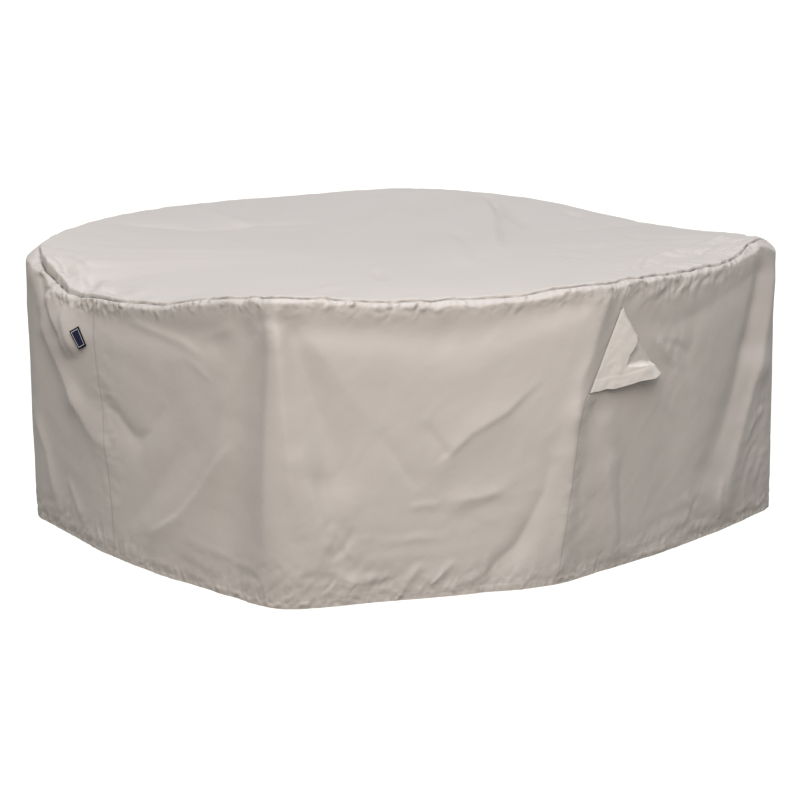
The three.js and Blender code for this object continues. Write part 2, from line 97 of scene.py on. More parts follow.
# Each corner's place under the rim and at the hem, and how far from it the wall begins to turn
Corner = namedtuple("Corner", "x y foot_x foot_y round foot_round")
CORNERS = [
    Corner(x=-1319, y=-190, foot_x=-1302, foot_y=-232, round=120, foot_round=120),
    Corner(x=-396, y=-1288, foot_x=-404, foot_y=-1322, round=36, foot_round=120),
    Corner(x=575, y=-935, foot_x=458, foot_y=-1060, round=70, foot_round=110),
    Corner(x=1282, y=-115, foot_x=1284, foot_y=-130, round=130, foot_round=130),
    Corner(x=905, y=812, foot_x=910, foot_y=815, round=260, foot_round=260),
    Corner(x=0, y=1285, foot_x=0, foot_y=1285, round=320, foot_round=320),
    Corner(x=-915, y=905, foot_x=-915, foot_y=905, round=280, foot_round=280),
]

# How far each side's wall and hem stand out of a straight line
Side = namedtuple("Side", "bulge foot_bulge")
SIDES = [Side(24, 56), Side(0, 4), Side(14, 32), Side(35, 35), Side(40, 40), Side(30, 35), Side(40, 40)]

# The height of the seam round the rim, and the depth in which the skirt rolls over below it
Rim = namedtuple("Rim", "u z shoulder")
RIM = [
    Rim(0, 914, 58), Rim(0.1, 869, 44), Rim(0.17, 828, 38), Rim(0.25, 802, 36), Rim(0.34, 808, 32),
    Rim(0.45, 818, 30), Rim(0.62, 838, 30), Rim(0.76, 880, 34), Rim(0.9, 912, 36),
    Rim(1, 930, 38), Rim(1.12, 919, 38), Rim(1.4, 894, 40), Rim(1.75, 892, 40),
    Rim(2, 908, 36), Rim(2.5, 896, 34), Rim(2.7, 904, 38), Rim(2.83, 940, 48),
    Rim(2.93, 938, 54), Rim(3.06, 926, 52), Rim(3.3, 908, 38), Rim(3.6, 880, 32),
    Rim(4, 872, 34), Rim(4.5, 924, 34), Rim(5, 945, 38), Rim(5.5, 926, 34),
    Rim(6, 920, 38), Rim(6.5, 924, 34),
]

# Where the four skirt panels are sewn together, and how far the seam's upper end leans along the wall. It
# comes upright at the share straightens of the height, and the cloth leans with it over the width spread.
Seam = namedtuple("Seam", "u lean straightens spread")
SEAMS = [Seam(0.454, -0.117, 1, 0.3), Seam(2, 0.144, 0.4, 0.4), Seam(3.9, 0, 1, 0.3), Seam(5.5, 0, 1, 0.3)]

SIDE_COUNT = len(CORNERS)
print("the wall has", SIDE_COUNT, "corners, and its rim lies", min(row.z for row in RIM), "to",
      max(row.z for row in RIM), "mm high")

# %% [markdown]
# ### Reading the tables
#
# All of a sheet's points are worked out at once, as arrays, because there are tens of thousands of them. Each
# corner is rounded by a short curve between the two walls that meet there.

# %% Functions for the plan and the rim
PLAN = np.array(CORNERS, float)
BULGES = np.array(SIDES, float)
RIM_ROWS = np.array(RIM, float)


def corner_places(index, foot):
    """Each corner's place in plan, from its place under the rim to its place at the hem."""
    rows = PLAN[index % SIDE_COUNT]
    return rows[:, 0:2] * (1 - foot)[:, None] + rows[:, 2:4] * foot[:, None]


def unit(vectors):
    return vectors / np.linalg.norm(vectors, axis=1, keepdims=True)


def rounded_corner(before, corner, after, reach, share):
    """Places on the curve that rounds a corner, between the corners before and after it."""
    start = corner + unit(before - corner) * reach[:, None]
    end = corner + unit(after - corner) * reach[:, None]
    share = share[:, None]
    return start * (1 - share) ** 2 + corner * 2 * share * (1 - share) + end * share**2


def plan_places(u, foot):
    """The wall's line in plan. foot is 0 under the shoulder and 1 at the hem."""
    side = np.floor(u).astype(int)
    along = u - side
    start, end = corner_places(side, foot), corner_places(side + 1, foot)
    before, after = corner_places(side - 1, foot), corner_places(side + 2, foot)
    length = np.linalg.norm(end - start, axis=1)
    # Round both ends of the side
    reaches = PLAN[:, 4] * (1 - foot[:, None]) + PLAN[:, 5] * foot[:, None]
    each = np.arange(len(u))
    start_reach, end_reach = reaches[each, side % SIDE_COUNT], reaches[each, (side + 1) % SIDE_COUNT]
    places = start + (end - start) * along[:, None]
    share = np.clip(0.5 + 0.5 * along * length / start_reach, 0, 1)
    near_start = along < start_reach / length
    places = np.where(near_start[:, None], rounded_corner(before, start, end, start_reach, share), places)
    share = np.clip(0.5 - 0.5 * (1 - along) * length / end_reach, 0, 1)
    near_end = along > 1 - end_reach / length
    places = np.where(near_end[:, None], rounded_corner(start, end, after, end_reach, share), places)
    # Then let its middle stand out
    bulge = BULGES[side % SIDE_COUNT]
    stand = (bulge[:, 0] * (1 - foot) + bulge[:, 1] * foot) * np.sin(np.pi * along) ** 2
    out = unit(end - start)
    return places + np.stack([out[:, 1], -out[:, 0]], axis=1) * stand[:, None]


def plan_outward(u, foot):
    """The direction straight out of the wall."""
    step = 0.01
    along = unit(plan_places(u + step, foot) - plan_places(u - step, foot))
    return np.stack([along[:, 1], -along[:, 0]], axis=1)


def rim_value(u, column):
    """A column of the rim's table at any place round it, on a smooth line through the rows."""
    count = len(RIM_ROWS)
    values = RIM_ROWS[:, column]
    places = RIM_ROWS[:, 0]
    next_places = np.append(places[1:], places[0] + SIDE_COUNT)
    last_places = np.insert(places[:-1], 0, places[-1] - SIDE_COUNT)
    slopes = (np.roll(values, -1) - np.roll(values, 1)) / (next_places - last_places)
    place = u % SIDE_COUNT
    at = np.searchsorted(places, place, side="right") - 1
    after = (at + 1) % count
    gap = next_places[at] - places[at]
    share = (place - places[at]) / gap
    # Between two rows the line leaves and arrives with their slopes
    ease = share**2 * (3 - 2 * share)
    lift = share * (1 - share) * gap * (slopes[at] * (1 - share) - slopes[after] * share)
    return values[at] * (1 - ease) + values[after] * ease + lift


def around(u_distance):
    """A distance round the cover, taken the shorter way."""
    return (u_distance + SIDE_COUNT / 2) % SIDE_COUNT - SIDE_COUNT / 2


def bell(distance, width):
    """1 where the distance is 0, and falling softly to 0 over about twice the width."""
    return np.exp(-((distance / width) ** 2))


def leaning(u, down):
    """How far the cloth at u leans along the wall, at a share of the way down it."""
    shift = np.zeros_like(u)
    for seam in SEAMS:
        near = bell(around(u - seam.u), seam.spread)
        shift += seam.lean * near * np.clip(1 - down / seam.straightens, 0, 1)
    return shift


# Real lengths round the wall a little above half its height, for creases that mustn't stretch
STEPS_A_SIDE = 200
length_places = np.linspace(0, SIDE_COUNT, STEPS_A_SIDE * SIDE_COUNT + 1)
length_points = plan_places(length_places, np.full_like(length_places, 0.4))
length_steps = np.linalg.norm(np.diff(length_points, axis=0), axis=1)
LENGTHS = np.append(0, np.cumsum(length_steps))
AROUND = LENGTHS[-1]


def round_length(u):
    """The length along the wall from the left corner to u."""
    turns = np.floor(u / SIDE_COUNT)
    return np.interp(u - turns * SIDE_COUNT, length_places, LENGTHS) + turns * AROUND


print("the wall is", round(AROUND), "mm round")

# %% [markdown]
# ### Large folds
#
# The solids have these folds too, most of them about twice as deep: the swags that hang between the chairs,
# and the crests and hollows that fall from the corners. Each is a soft ridge, or a trough where out is
# negative, along a line from its first place to its second.

# %% The skirt's and the top's large folds
# About the length of a side, which turns short distances in u into millimetres
SIDE_WIDTH = 1150

Fold = namedtuple("Fold", "u z to_u to_z out width to_width")
LARGE_FOLDS = [
    # The left side
    Fold(0.34, 748, 0.8, 770, -8, 50, 50),
    Fold(0.08, 830, 0.2, 640, 10, 45, 55),
    Fold(0.13, 660, 0.26, 457, 6, 40, 45),
    Fold(0.26, 457, 0.4, 329, 6, 45, 60),
    Fold(0.045, 367, 0.15, 88, 4, 40, 45),
    Fold(0.38, 487, 0.526, 400, -3, 45, 45),
    Fold(0.526, 400, 0.64, 545, -3, 45, 55),
    Fold(0.707, 425, 0.51, 120, -3, 55, 60),
    Fold(0.864, 479, 0.6, 130, 2, 34, 40),
    # The front left corner
    Fold(0.95, 790, 0.82, 360, 5, 40, 70),
    Fold(0.925, 800, 0.87, 100, -11, 80, 110),
    Fold(1.05, 850, 1.2, 400, -12, 40, 75),
    Fold(1.08, 440, 1.17, 150, 5, 40, 45),
    Fold(1.15, 370, 1.25, 120, -6, 40, 45),
    # The front side, from its swag to the big fold
    Fold(1.1, 832, 1.5, 790, -9, 44, 64),
    Fold(1.56, 790, 1.95, 852, -9, 64, 40),
    Fold(1.56, 428, 1.72, 536, 4, 50, 60),
    Fold(1.6, 290, 1.76, 308, 4, 36, 36),
    Fold(1.914, 420, 1.84, 150, -3.5, 40, 50),
    Fold(1.84, 150, 1.74, 10, -4, 50, 50),
    Fold(1.95, 370, 1.87, 60, 3, 60, 70),
    # The front right corner and the right side
    Fold(2.03, 850, 1.985, 520, 7, 45, 45),
    Fold(1.985, 520, 1.995, 60, 7, 45, 45),
    Fold(2.05, 500, 2.07, 60, -6, 45, 50),
    Fold(2.12, 470, 2.2, 60, 6, 50, 50),
    Fold(2.36, 600, 2.4, 120, -5, 80, 80),
    Fold(2.24, 765, 2.5, 752, -2, 48, 52),
    Fold(2.5, 752, 2.86, 852, -2, 52, 44),
    # The right corner
    Fold(2.93, 800, 2.87, 520, 10, 55, 60),
    Fold(2.87, 520, 2.69, 100, 10, 60, 55),
    Fold(2.85, 830, 2.79, 600, -9, 36, 45),
    Fold(2.78, 600, 2.6, 230, -8, 50, 65),
    # Behind, where a swag hangs from each corner to the next
    Fold(3.18, 800, 3.84, 790, -11, 55, 55),
    Fold(3.12, 800, 3.3, 120, -7, 45, 75),
    Fold(3.52, 620, 3.6, 80, 6, 70, 60),
    Fold(3.9, 790, 3.8, 160, -7, 45, 70),
    Fold(4, 800, 4.02, 60, 6, 60, 70),
    Fold(4.18, 800, 4.82, 850, -11, 55, 55),
    Fold(4.12, 780, 4.25, 200, -6, 45, 70),
    Fold(4.8, 700, 4.5, 150, 6, 50, 65),
    Fold(5, 870, 4.98, 60, 8, 60, 75),
    Fold(5.1, 850, 5.22, 200, -6, 45, 75),
    Fold(5.16, 850, 5.84, 835, -11, 55, 55),
    Fold(5.45, 640, 5.55, 80, 6, 70, 60),
    Fold(6, 840, 6.02, 60, 7, 60, 70),
    Fold(5.9, 820, 5.78, 180, -6, 45, 70),
    Fold(6.16, 840, 6.84, 825, -11, 55, 55),
    Fold(6.2, 760, 6.5, 150, 6, 50, 65),
    Fold(6.9, 800, 6.76, 120, -7, 45, 75),
]

TopFold = namedtuple("TopFold", "x y to_x to_y out width to_width")
TOP_FOLDS = [
    TopFold(320, 1100, 345, 250, -8, 60, 45),
    TopFold(420, 1000, 520, 500, 5, 70, 60),
    TopFold(189, 404, 189, -511, -5, 60, 55),
    TopFold(-1060, 360, -590, 520, -5, 60, 60),
    TopFold(-1080, -180, -420, -60, 4, 80, 90),
    TopFold(740, -440, 815, -300, 5, 60, 60),
    TopFold(560, 60, 1000, 150, -6, 70, 70),
]


def ridge(x, y, run_x, run_y, out, width, to_width):
    """The height of a straight ridge that starts at the origin, at points x, y from there."""
    share = np.clip((x * run_x + y * run_y) / (run_x**2 + run_y**2), 0, 1)
    distance = np.hypot(x - share * run_x, y - share * run_y)
    return out * bell(distance, width + (to_width - width) * share)


def large_relief(u, z):
    """The height of the skirt's large folds."""
    relief = np.zeros_like(u)
    for fold in LARGE_FOLDS:
        x = around(u - fold.u) * SIDE_WIDTH
        run = (fold.to_u - fold.u) * SIDE_WIDTH
        relief += ridge(x, z - fold.z, run, fold.to_z - fold.z, fold.out, fold.width, fold.to_width)
    return relief


def large_top_relief(x, y):
    """The height of the top's large folds."""
    relief = np.zeros_like(x)
    for fold in TOP_FOLDS:
        run_x, run_y = fold.to_x - fold.x, fold.to_y - fold.y
        relief += ridge(x - fold.x, y - fold.y, run_x, run_y, fold.out, fold.width, fold.to_width)
    return relief


print("large folds:", len(LARGE_FOLDS), "in the skirt and", len(TOP_FOLDS), "in the top")

# %% [markdown]
# ### Creases
#
# Thin coated cloth doesn't bend softly everywhere. It breaks into creases with a sharp crest, a steep side
# and a gentle one, and it fans out from each point that pulls at it. A crease here is a line through a few
# points of the wall, each with its u and its height. left and right are the widths of its two sides, seen
# along its own direction, and sharp is how pointed its crest is. fade_in and fade_out are the shares of its
# length over which its two ends die away.

# %% The skirt's creases
Crease = namedtuple("Crease", "line out left right sharp fade_in fade_out", defaults=(0.3, 0.3))
CREASES = [
    # The roll at the left corner, the folds beside the label and the long crease under them
    Crease([(0.15, 797), (0.185, 720), (0.225, 670), (0.25, 590)], 20, 96, 24, 0.2, 0.1, 0.3),
    Crease([(0.225, 760), (0.238, 715), (0.262, 655), (0.285, 600)], 11, 62, 26, 0.2),
    Crease([(0.113, 850), (0.137, 745), (0.18, 687)], -6, 24, 20, 0.3, 0.1, 0.4),
    Crease([(0.109, 756), (0.126, 659), (0.192, 556), (0.26, 457), (0.33, 376), (0.399, 329)],
           5, 44, 22, 0.6, 0.2, 0.3),
    Crease([(0.045, 367), (0.11, 248), (0.15, 88)], 4, 26, 18, 0.4),
    Crease([(0.21, 191), (0.293, 66)], 4, 22, 16, 0.5),
    # The left side: the bend by its seam, the bright ridge and its hollow, and streaks under the rim
    Crease([(0.38, 487), (0.457, 458), (0.526, 395)], -4, 26, 18, 0.5, 0.3, 0.1),
    Crease([(0.526, 395), (0.583, 435), (0.638, 542)], -4, 18, 28, 0.5, 0.1, 0.4),
    Crease([(0.864, 479), (0.807, 388), (0.757, 298), (0.689, 202), (0.582, 114)], 6, 44, 9, 0.7, 0.2, 0.3),
    Crease([(0.707, 425), (0.619, 277), (0.504, 116)], -4, 36, 30, 0.1),
    Crease([(0.489, 767), (0.585, 754), (0.692, 739), (0.77, 706)], 4, 14, 16, 0.5),
    Crease([(0.727, 752), (0.8, 782), (0.878, 826)], 2.5, 16, 24, 0.4, 0.3, 0.2),
    Crease([(0.7, 700), (0.76, 668), (0.8, 640)], 2, 10, 12, 0.5),
    # The front left corner: its edge, the hollow and fan to its left, and to its right a band of light
    Crease([(0.992, 862), (0.978, 622), (0.97, 384), (0.965, 120)], 5, 44, 30, 0.5, 0.05, 0.3),
    Crease([(0.95, 830), (0.9, 600), (0.86, 371), (0.83, 119)], -7, 90, 60, 0.1, 0.1, 0.3),
    Crease([(0.96, 830), (0.842, 595), (0.79, 338)], 4, 32, 30, 0.4, 0.1, 0.4),
    Crease([(1.013, 847), (1.03, 628), (1.056, 391), (1.09, 208)], 7, 20, 30, 0.5, 0.1, 0.3),
    Crease([(1.044, 868), (1.1, 711), (1.15, 560), (1.19, 410)], -6.5, 44, 24, 0.4, 0.1, 0.4),
    Crease([(1.05, 868), (1.16, 740), (1.26, 600), (1.34, 500)], 4, 50, 34, 0.4, 0.1, 0.5),
    # The front side: a slant, and creases that cross low down
    Crease([(1.33, 520), (1.4, 420), (1.47, 330)], -4, 34, 16, 0.6, 0.4, 0.3),
    Crease([(1.11, 392), (1.143, 309), (1.178, 201), (1.203, 154)], 5, 14, 24, 0.7, 0.3, 0.2),
    Crease([(1.217, 228), (1.238, 180), (1.26, 135)], 4, 12, 14, 0.7),
    Crease([(1.27, 235), (1.235, 165), (1.19, 140)], -4, 14, 14, 0.5),
    Crease([(1.2, 120), (1.24, 80), (1.3, 60)], 4, 14, 16, 0.6),
    # The lip of its swag, the long bend that turns up again, and short strokes near the hem
    Crease([(1.082, 842), (1.171, 790), (1.323, 756), (1.446, 740), (1.58, 736)],
           1.5, 50, 90, 0.05, 0.1, 0.4),
    Crease([(1.6, 732), (1.75, 742), (1.87, 780), (1.96, 850)], 1.5, 50, 80, 0.05, 0.4, 0.1),
    Crease([(1.47, 540), (1.53, 470), (1.56, 428)], -4, 14, 40, 0.7, 0.4, 0.1),
    Crease([(1.56, 428), (1.63, 490), (1.74, 545), (1.85, 640)], 5, 46, 14, 0.7, 0.1, 0.5),
    Crease([(1.596, 290), (1.68, 293), (1.764, 311)], 3, 14, 18, 0.5),
    Crease([(1.44, 280), (1.5, 285), (1.55, 280)], 3, 12, 14, 0.5),
    Crease([(1.42, 180), (1.48, 190), (1.53, 180)], 2, 12, 14, 0.5),
    Crease([(1.614, 107), (1.575, 74), (1.533, 38)], 5, 12, 16, 0.7, 0.3, 0.2),
    Crease([(1.5, 110), (1.46, 60), (1.43, 10)], 4, 14, 16, 0.5, 0.3, 0.1),
    # The big fold that falls to the hem, and the edge of the front right corner
    Crease([(1.914, 401), (1.904, 296), (1.864, 209), (1.831, 136), (1.763, 89), (1.741, 12)],
           -6, 100, 22, 0.6, 0.2, 0.15),
    Crease([(2.05, 877), (2.025, 797), (2.011, 709), (1.98, 621), (1.985, 439), (2.005, 225), (1.994, 103)],
           4, 26, 24, 0.7, 0.05, 0.2),
    # The right side: under the hood, the lip of its swag, and what the hood pulls
    Crease([(2.042, 553), (2.088, 454), (2.153, 349)], -5, 22, 18, 0.3, 0.1, 0.4),
    Crease([(2.123, 355), (2.172, 221), (2.217, 69)], 4, 18, 16, 0.4, 0.2, 0.3),
    Crease([(2.187, 342), (2.21, 200), (2.229, 66)], -3, 16, 14, 0.3, 0.2, 0.3),
    Crease([(2.233, 763), (2.355, 733), (2.503, 756), (2.725, 809), (2.857, 858)],
           -2, 24, 40, 0.4, 0.2, 0.1),
    Crease([(2.3, 700), (2.36, 640), (2.4, 600)], 3, 14, 14, 0.6, 0.1, 0.3),
    Crease([(2.33, 690), (2.42, 660), (2.47, 620)], -3, 14, 16, 0.5, 0.2, 0.3),
    Crease([(2.32, 590), (2.36, 500), (2.42, 430)], 2, 20, 22, 0.3, 0.2, 0.4),
    # The glossy folds that fall from the right corner, and the gathers at the hem
    Crease([(2.93, 850), (2.91, 730), (2.87, 590), (2.81, 430), (2.745, 280), (2.685, 110)],
           5, 26, 24, 0.4, 0.1, 0.3),
    Crease([(2.85, 820), (2.79, 640), (2.72, 429), (2.626, 249)], -5, 32, 30, 0.2, 0.2, 0.4),
    Crease([(2.9, 380), (2.84, 330), (2.78, 270)], 4, 14, 16, 0.6),
    Crease([(2.88, 300), (2.8, 230), (2.76, 150)], 3, 12, 14, 0.6),
    Crease([(2.49, 170), (2.52, 120), (2.5, 60)], 4, 12, 14, 0.6),
    Crease([(2.56, 150), (2.53, 110), (2.56, 50)], -3, 12, 14, 0.5),
    Crease([(2.68, 190), (2.66, 120), (2.67, 40)], 4, 12, 14, 0.6, 0.3, 0.1),
    Crease([(2.83, 200), (2.8, 120), (2.81, 30)], 4, 14, 14, 0.6, 0.3, 0.1),
    Crease([(2.9, 180), (2.88, 100), (2.89, 30)], -4, 12, 14, 0.5, 0.3, 0.1),
]


def crease_relief(x, z, line, crease):
    """The height of a crease at points x, z of the wall, with its line's points in the same lengths."""
    line = np.array(line, float)
    spans = np.diff(line, axis=0)
    span_lengths = np.hypot(spans[:, 0], spans[:, 1])
    total = span_lengths.sum()
    # Only the points near the crease are worked out
    reach = 3 * max(crease.left, crease.right)
    near = (x > line[:, 0].min() - reach) & (x < line[:, 0].max() + reach)
    near &= (z > line[:, 1].min() - reach) & (z < line[:, 1].max() + reach)
    px, pz = x[near], z[near]
    best = np.full(px.shape, np.inf)
    side = np.zeros_like(px)
    place = np.zeros_like(px)
    done = 0
    for (start_x, start_z), (run_x, run_z), length in zip(line[:-1], spans, span_lengths):
        off_x, off_z = px - start_x, pz - start_z
        share = np.clip((off_x * run_x + off_z * run_z) / length**2, 0, 1)
        distance = np.hypot(off_x - share * run_x, off_z - share * run_z)
        closer = distance < best
        best = np.where(closer, distance, best)
        side = np.where(closer, run_x * off_z - run_z * off_x, side)
        place = np.where(closer, (done + share * length) / total, place)
        done += length
    width = np.where(side > 0, crease.left, crease.right)
    soft = bell(best, width)
    pointed = np.exp(-1.6 * best / width)
    start_fade = np.clip(place / crease.fade_in, 0, 1)
    end_fade = np.clip((1 - place) / crease.fade_out, 0, 1)
    fade = np.sin(start_fade * np.pi / 2) * np.sin(end_fade * np.pi / 2)
    relief = np.zeros_like(x)
    relief[near] = crease.out * fade * (soft * (1 - crease.sharp) + pointed * crease.sharp)
    return relief


def wall_creases(u, z, creases):
    """The height of all the creases in a table, with the places in u turned into lengths."""
    relief = np.zeros_like(u)
    for crease in creases:
        start = round_length(crease.line[0][0])
        x = (round_length(u) - start + AROUND / 2) % AROUND - AROUND / 2
        line = [(round_length(place) - start, height) for place, height in crease.line]
        relief += crease_relief(x, z, line, crease)
    return relief


print("creases in the skirt:", len(CREASES))

# %% [markdown]
# ### Puckers
#
# A sewing machine draws the cloth in a little, so the cloth beside each seam stands up in small puckers that
# cross it. They are scattered by a seeded generator: their spacing, length and depth are uneven.

# %% Scatter puckers along the seams
Pucker = namedtuple("Pucker", "at out width reach tilt")


def scattered_puckers(seed, length, spacing, out, width, reach):
    """Puckers along a seam. out is how high the highest stand, and reach how far they run off the seam."""
    chance = random.Random(seed)
    puckers = []
    at = 0
    while at < length:
        puckers.append(Pucker(
            at=at,
            out=chance.uniform(-1, 1) * out,
            width=width * chance.uniform(0.5, 1.5),
            reach=reach * chance.uniform(0.3, 1.7),
            tilt=chance.uniform(-0.7, 0.7),
        ))
        at += spacing * chance.uniform(0.4, 1.6)
    return puckers


def pucker_relief(along, off, puckers, closed_length):
    """The height of puckers along a seam, at a distance off it."""
    relief = np.zeros_like(along)
    for pucker in puckers:
        x = (along - pucker.at + closed_length / 2) % closed_length - closed_length / 2
        near = np.abs(x) < 3 * pucker.width + 3 * pucker.reach * abs(pucker.tilt)
        near &= off < 3 * pucker.reach
        leant = x[near] - pucker.tilt * off[near]
        width = pucker.width * (1 + off[near] / pucker.reach)
        crest = np.exp(-1.4 * np.abs(leant) / width)
        relief[near] += pucker.out * crest * bell(off[near], pucker.reach)
    return relief


RIM_PUCKERS = scattered_puckers(seed=3, length=AROUND, spacing=19, out=5.0, width=5, reach=17)
TOP_PUCKERS = scattered_puckers(seed=5, length=AROUND, spacing=24, out=3.4, width=8, reach=26)
HEM_PUCKERS = scattered_puckers(seed=8, length=AROUND, spacing=19, out=2.2, width=6, reach=28)
SEAM_PUCKERS = scattered_puckers(seed=13, length=2000, spacing=40, out=2.4, width=10, reach=30)
print("puckers:", len(RIM_PUCKERS + TOP_PUCKERS + HEM_PUCKERS + SEAM_PUCKERS))

# %% [markdown]
# ### Uneven lines
#
# No seam on such a cover is straight. The rim seam rises and drops by a few millimetres every hand's width, the
# shade painted into its gap is uneven, the flange of cloth below it bends over at an uneven depth, and the hem
# swings in and out. Each of these is a line of straight pieces round the cover, with values from 0 to 1.

# %% Uneven lines round the cover
def uneven_line(seed, size):
    """A closed line whose pieces are about size long."""
    chance = random.Random(seed)
    places, values = [0.0], [chance.random()]
    while places[-1] < AROUND - 1.6 * size:
        places.append(places[-1] + size * chance.uniform(0.4, 1.6))
        values.append(chance.random())
    return np.array(places + [AROUND]), np.array(values + values[:1])


def on_line(along, line):
    """An uneven line's value at any length round the cover."""
    return np.interp(along % AROUND, line[0], line[1])


RIM_WAVE = uneven_line(seed=4, size=62)
FLANGE_WAVE = uneven_line(seed=21, size=46)
HEM_WAVE = uneven_line(seed=33, size=70)
# The uneven strength of the shade painted along the rim seam
PAINTED_SHADE_WAVE = uneven_line(seed=52, size=24)
print("the rim seam rises and drops in", len(RIM_WAVE[0]) - 1, "pieces")

# %% [markdown]
# ### Crumple
#
# Between the creases the cloth still isn't smooth. It was folded in its bag, and it keeps faint flat patches
# with edges between them, like paper that was crumpled and smoothed out again. The patches are triangles that
# hang between points of uneven height, on a lattice whose rows are bent a little. Each row of the tables is
# one size of patch.

# %% Flat patches
HEIGHT_COUNT = 4096
height_chance = random.Random(17)
HEIGHTS = np.array([height_chance.uniform(-1, 1) for _ in range(HEIGHT_COUNT)])

Patches = namedtuple("Patches", "out size stretch turn seed")
SKIRT_PATCHES = [
    Patches(2.0, 170, 1.8, 1.0, 2), Patches(1.0, 84, 1.6, -0.7, 7), Patches(0.5, 38, 1.5, 0.5, 5),
]
TOP_PATCHES = [
    Patches(1.2, 240, 1.7, 0.5, 3), Patches(0.8, 110, 1.5, -0.9, 6), Patches(0.4, 50, 1.4, 0.7, 9),
]
HOOD_PATCHES = [Patches(1.4, 42, 1.6, 0.9, 61), Patches(0.7, 20, 1.5, -0.5, 62)]
LABEL_PATCHES = [Patches(0.5, 16, 1.4, 0.8, 71)]


def facets(points, size, stretch, turn, seed):
    """Heights from -1 to 1 on flat triangles about size wide, drawn out by stretch in the direction turn."""
    cos, sin = math.cos(turn), math.sin(turn)
    x = (points[:, 0] * cos + points[:, 1] * sin) / (size * stretch)
    y = (points[:, 1] * cos - points[:, 0] * sin) / size
    x, y = x + 0.35 * np.sin(1.9 * y + seed), y + 0.35 * np.sin(1.7 * x + 2 * seed)
    column, row = np.floor(x).astype(int), np.floor(y).astype(int)
    across, up = x - column, y - row

    def height(step_x, step_y):
        """The uneven height of a lattice point, drawn from the list by a number mixed from its place."""
        number = (column + step_x) * 1619 + (row + step_y) * 31337 + seed * 6971
        return HEIGHTS[(number ^ (number >> 5)) % HEIGHT_COUNT]

    start, end = height(0, 0), height(1, 1)
    corner = np.where(across > up, height(1, 0), height(0, 1))
    return start + (corner - start) * np.maximum(across, up) + (end - corner) * np.minimum(across, up)


def patch_relief(points, rows):
    """The height of all the patches in a table."""
    return sum(row.out * facets(points, row.size, row.stretch, row.turn, row.seed) for row in rows)


def soft_noise(points, size, seed):
    """Soft heights from -1 to 1, in waves about size wide."""
    values = [noise.noise((a, b, seed)) for a, b in (points / size).tolist()]
    return np.array(values)


print("sizes of patches:", [row.size for row in SKIRT_PATCHES + TOP_PATCHES], "mm")

# %% [markdown]
# Some places are crumpled more than others: under the rim and at the hem, at the corners, and where folds
# cross. Each row below is such a place, with how far it reaches along the wall and up it, how deep its
# patches are, how large, and how they are drawn out and turned. On the top, x and z are x and y.

# %% Where the cloth is crumpled most
Zone = namedtuple("Zone", "x z wide high out size stretch turn")
SKIRT_ZONES = [
    # The left side
    Zone(0.32, 790, 210, 30, 9.0, 15, 1.6, 1.4),
    Zone(0.15, 700, 90, 90, 2.5, 30, 1.6, 1.2),
    Zone(0.42, 380, 70, 300, 2.4, 24, 1.5, 0.6),
    Zone(0.3, 50, 430, 60, 3.0, 22, 2.0, 1.4),
    Zone(0.96, 850, 120, 60, 2.6, 22, 1.6, 1.1),
    Zone(0.95, 60, 200, 60, 3.0, 22, 2.2, 1.5),
    # The front side
    Zone(1.35, 862, 190, 30, 3.0, 17, 1.6, 1.3),
    Zone(1.8, 866, 240, 34, 3.0, 17, 1.6, 1.3),
    Zone(1.22, 180, 100, 100, 5.0, 36, 1.7, 0.8),
    Zone(1.28, 60, 180, 60, 4.5, 24, 1.6, 1.4),
    Zone(1.7, 50, 300, 50, 3.2, 22, 2.0, 1.5),
    Zone(1.7, 280, 200, 90, 2.0, 50, 2.0, 0.2),
    # The right side
    Zone(2.05, 200, 120, 200, 2.2, 40, 2.2, 1.3),
    Zone(2.4, 852, 340, 34, 5.0, 28, 1.5, 1.0),
    Zone(2.4, 640, 120, 110, 4.5, 44, 1.8, -0.7),
    Zone(2.4, 50, 420, 50, 1.8, 22, 2.0, 1.5),
    Zone(2.86, 250, 120, 220, 4.0, 36, 1.6, 0.8),
    # Behind, along the hem and the rim
    Zone(3.4, 60, 420, 60, 4.5, 22, 2.0, 1.5),
    Zone(3.4, 830, 400, 50, 3.0, 20, 2.0, 1.3),
    Zone(4.4, 60, 500, 60, 4.0, 22, 2.0, 1.5),
    Zone(4.5, 870, 500, 50, 3.0, 20, 2.0, 1.3),
    Zone(5.5, 60, 500, 60, 4.0, 22, 2.0, 1.5),
    Zone(5.5, 870, 500, 50, 3.0, 20, 2.0, 1.3),
    Zone(6.5, 60, 500, 60, 4.0, 22, 2.0, 1.5),
    Zone(6.5, 870, 500, 50, 3.0, 20, 2.0, 1.3),
]
TOP_ZONES = [
    # Along the rim, from the left corner to the front
    Zone(-1130, -320, 120, 150, 8.0, 20, 1.8, 0.4),
    Zone(-960, -580, 160, 70, 4.0, 20, 1.8, 0.9),
    Zone(-700, -860, 200, 80, 2.0, 24, 1.8, 0.9),
    Zone(100, -1050, 420, 70, 2.0, 22, 1.8, 1.4),
    # The band before the right corner
    Zone(760, -470, 170, 110, 7.0, 28, 2.0, 2.2),
    Zone(960, -240, 190, 120, 9.0, 22, 2.2, 2.2),
    Zone(1130, -40, 90, 150, 8.0, 22, 2.0, 2.6),
    # Behind
    Zone(0, 1150, 500, 90, 2.5, 30, 1.8, 1.5),
    Zone(-800, 800, 220, 220, 2.5, 34, 1.8, 2.4),
    Zone(800, 700, 220, 220, 2.5, 34, 1.8, 0.7),
]


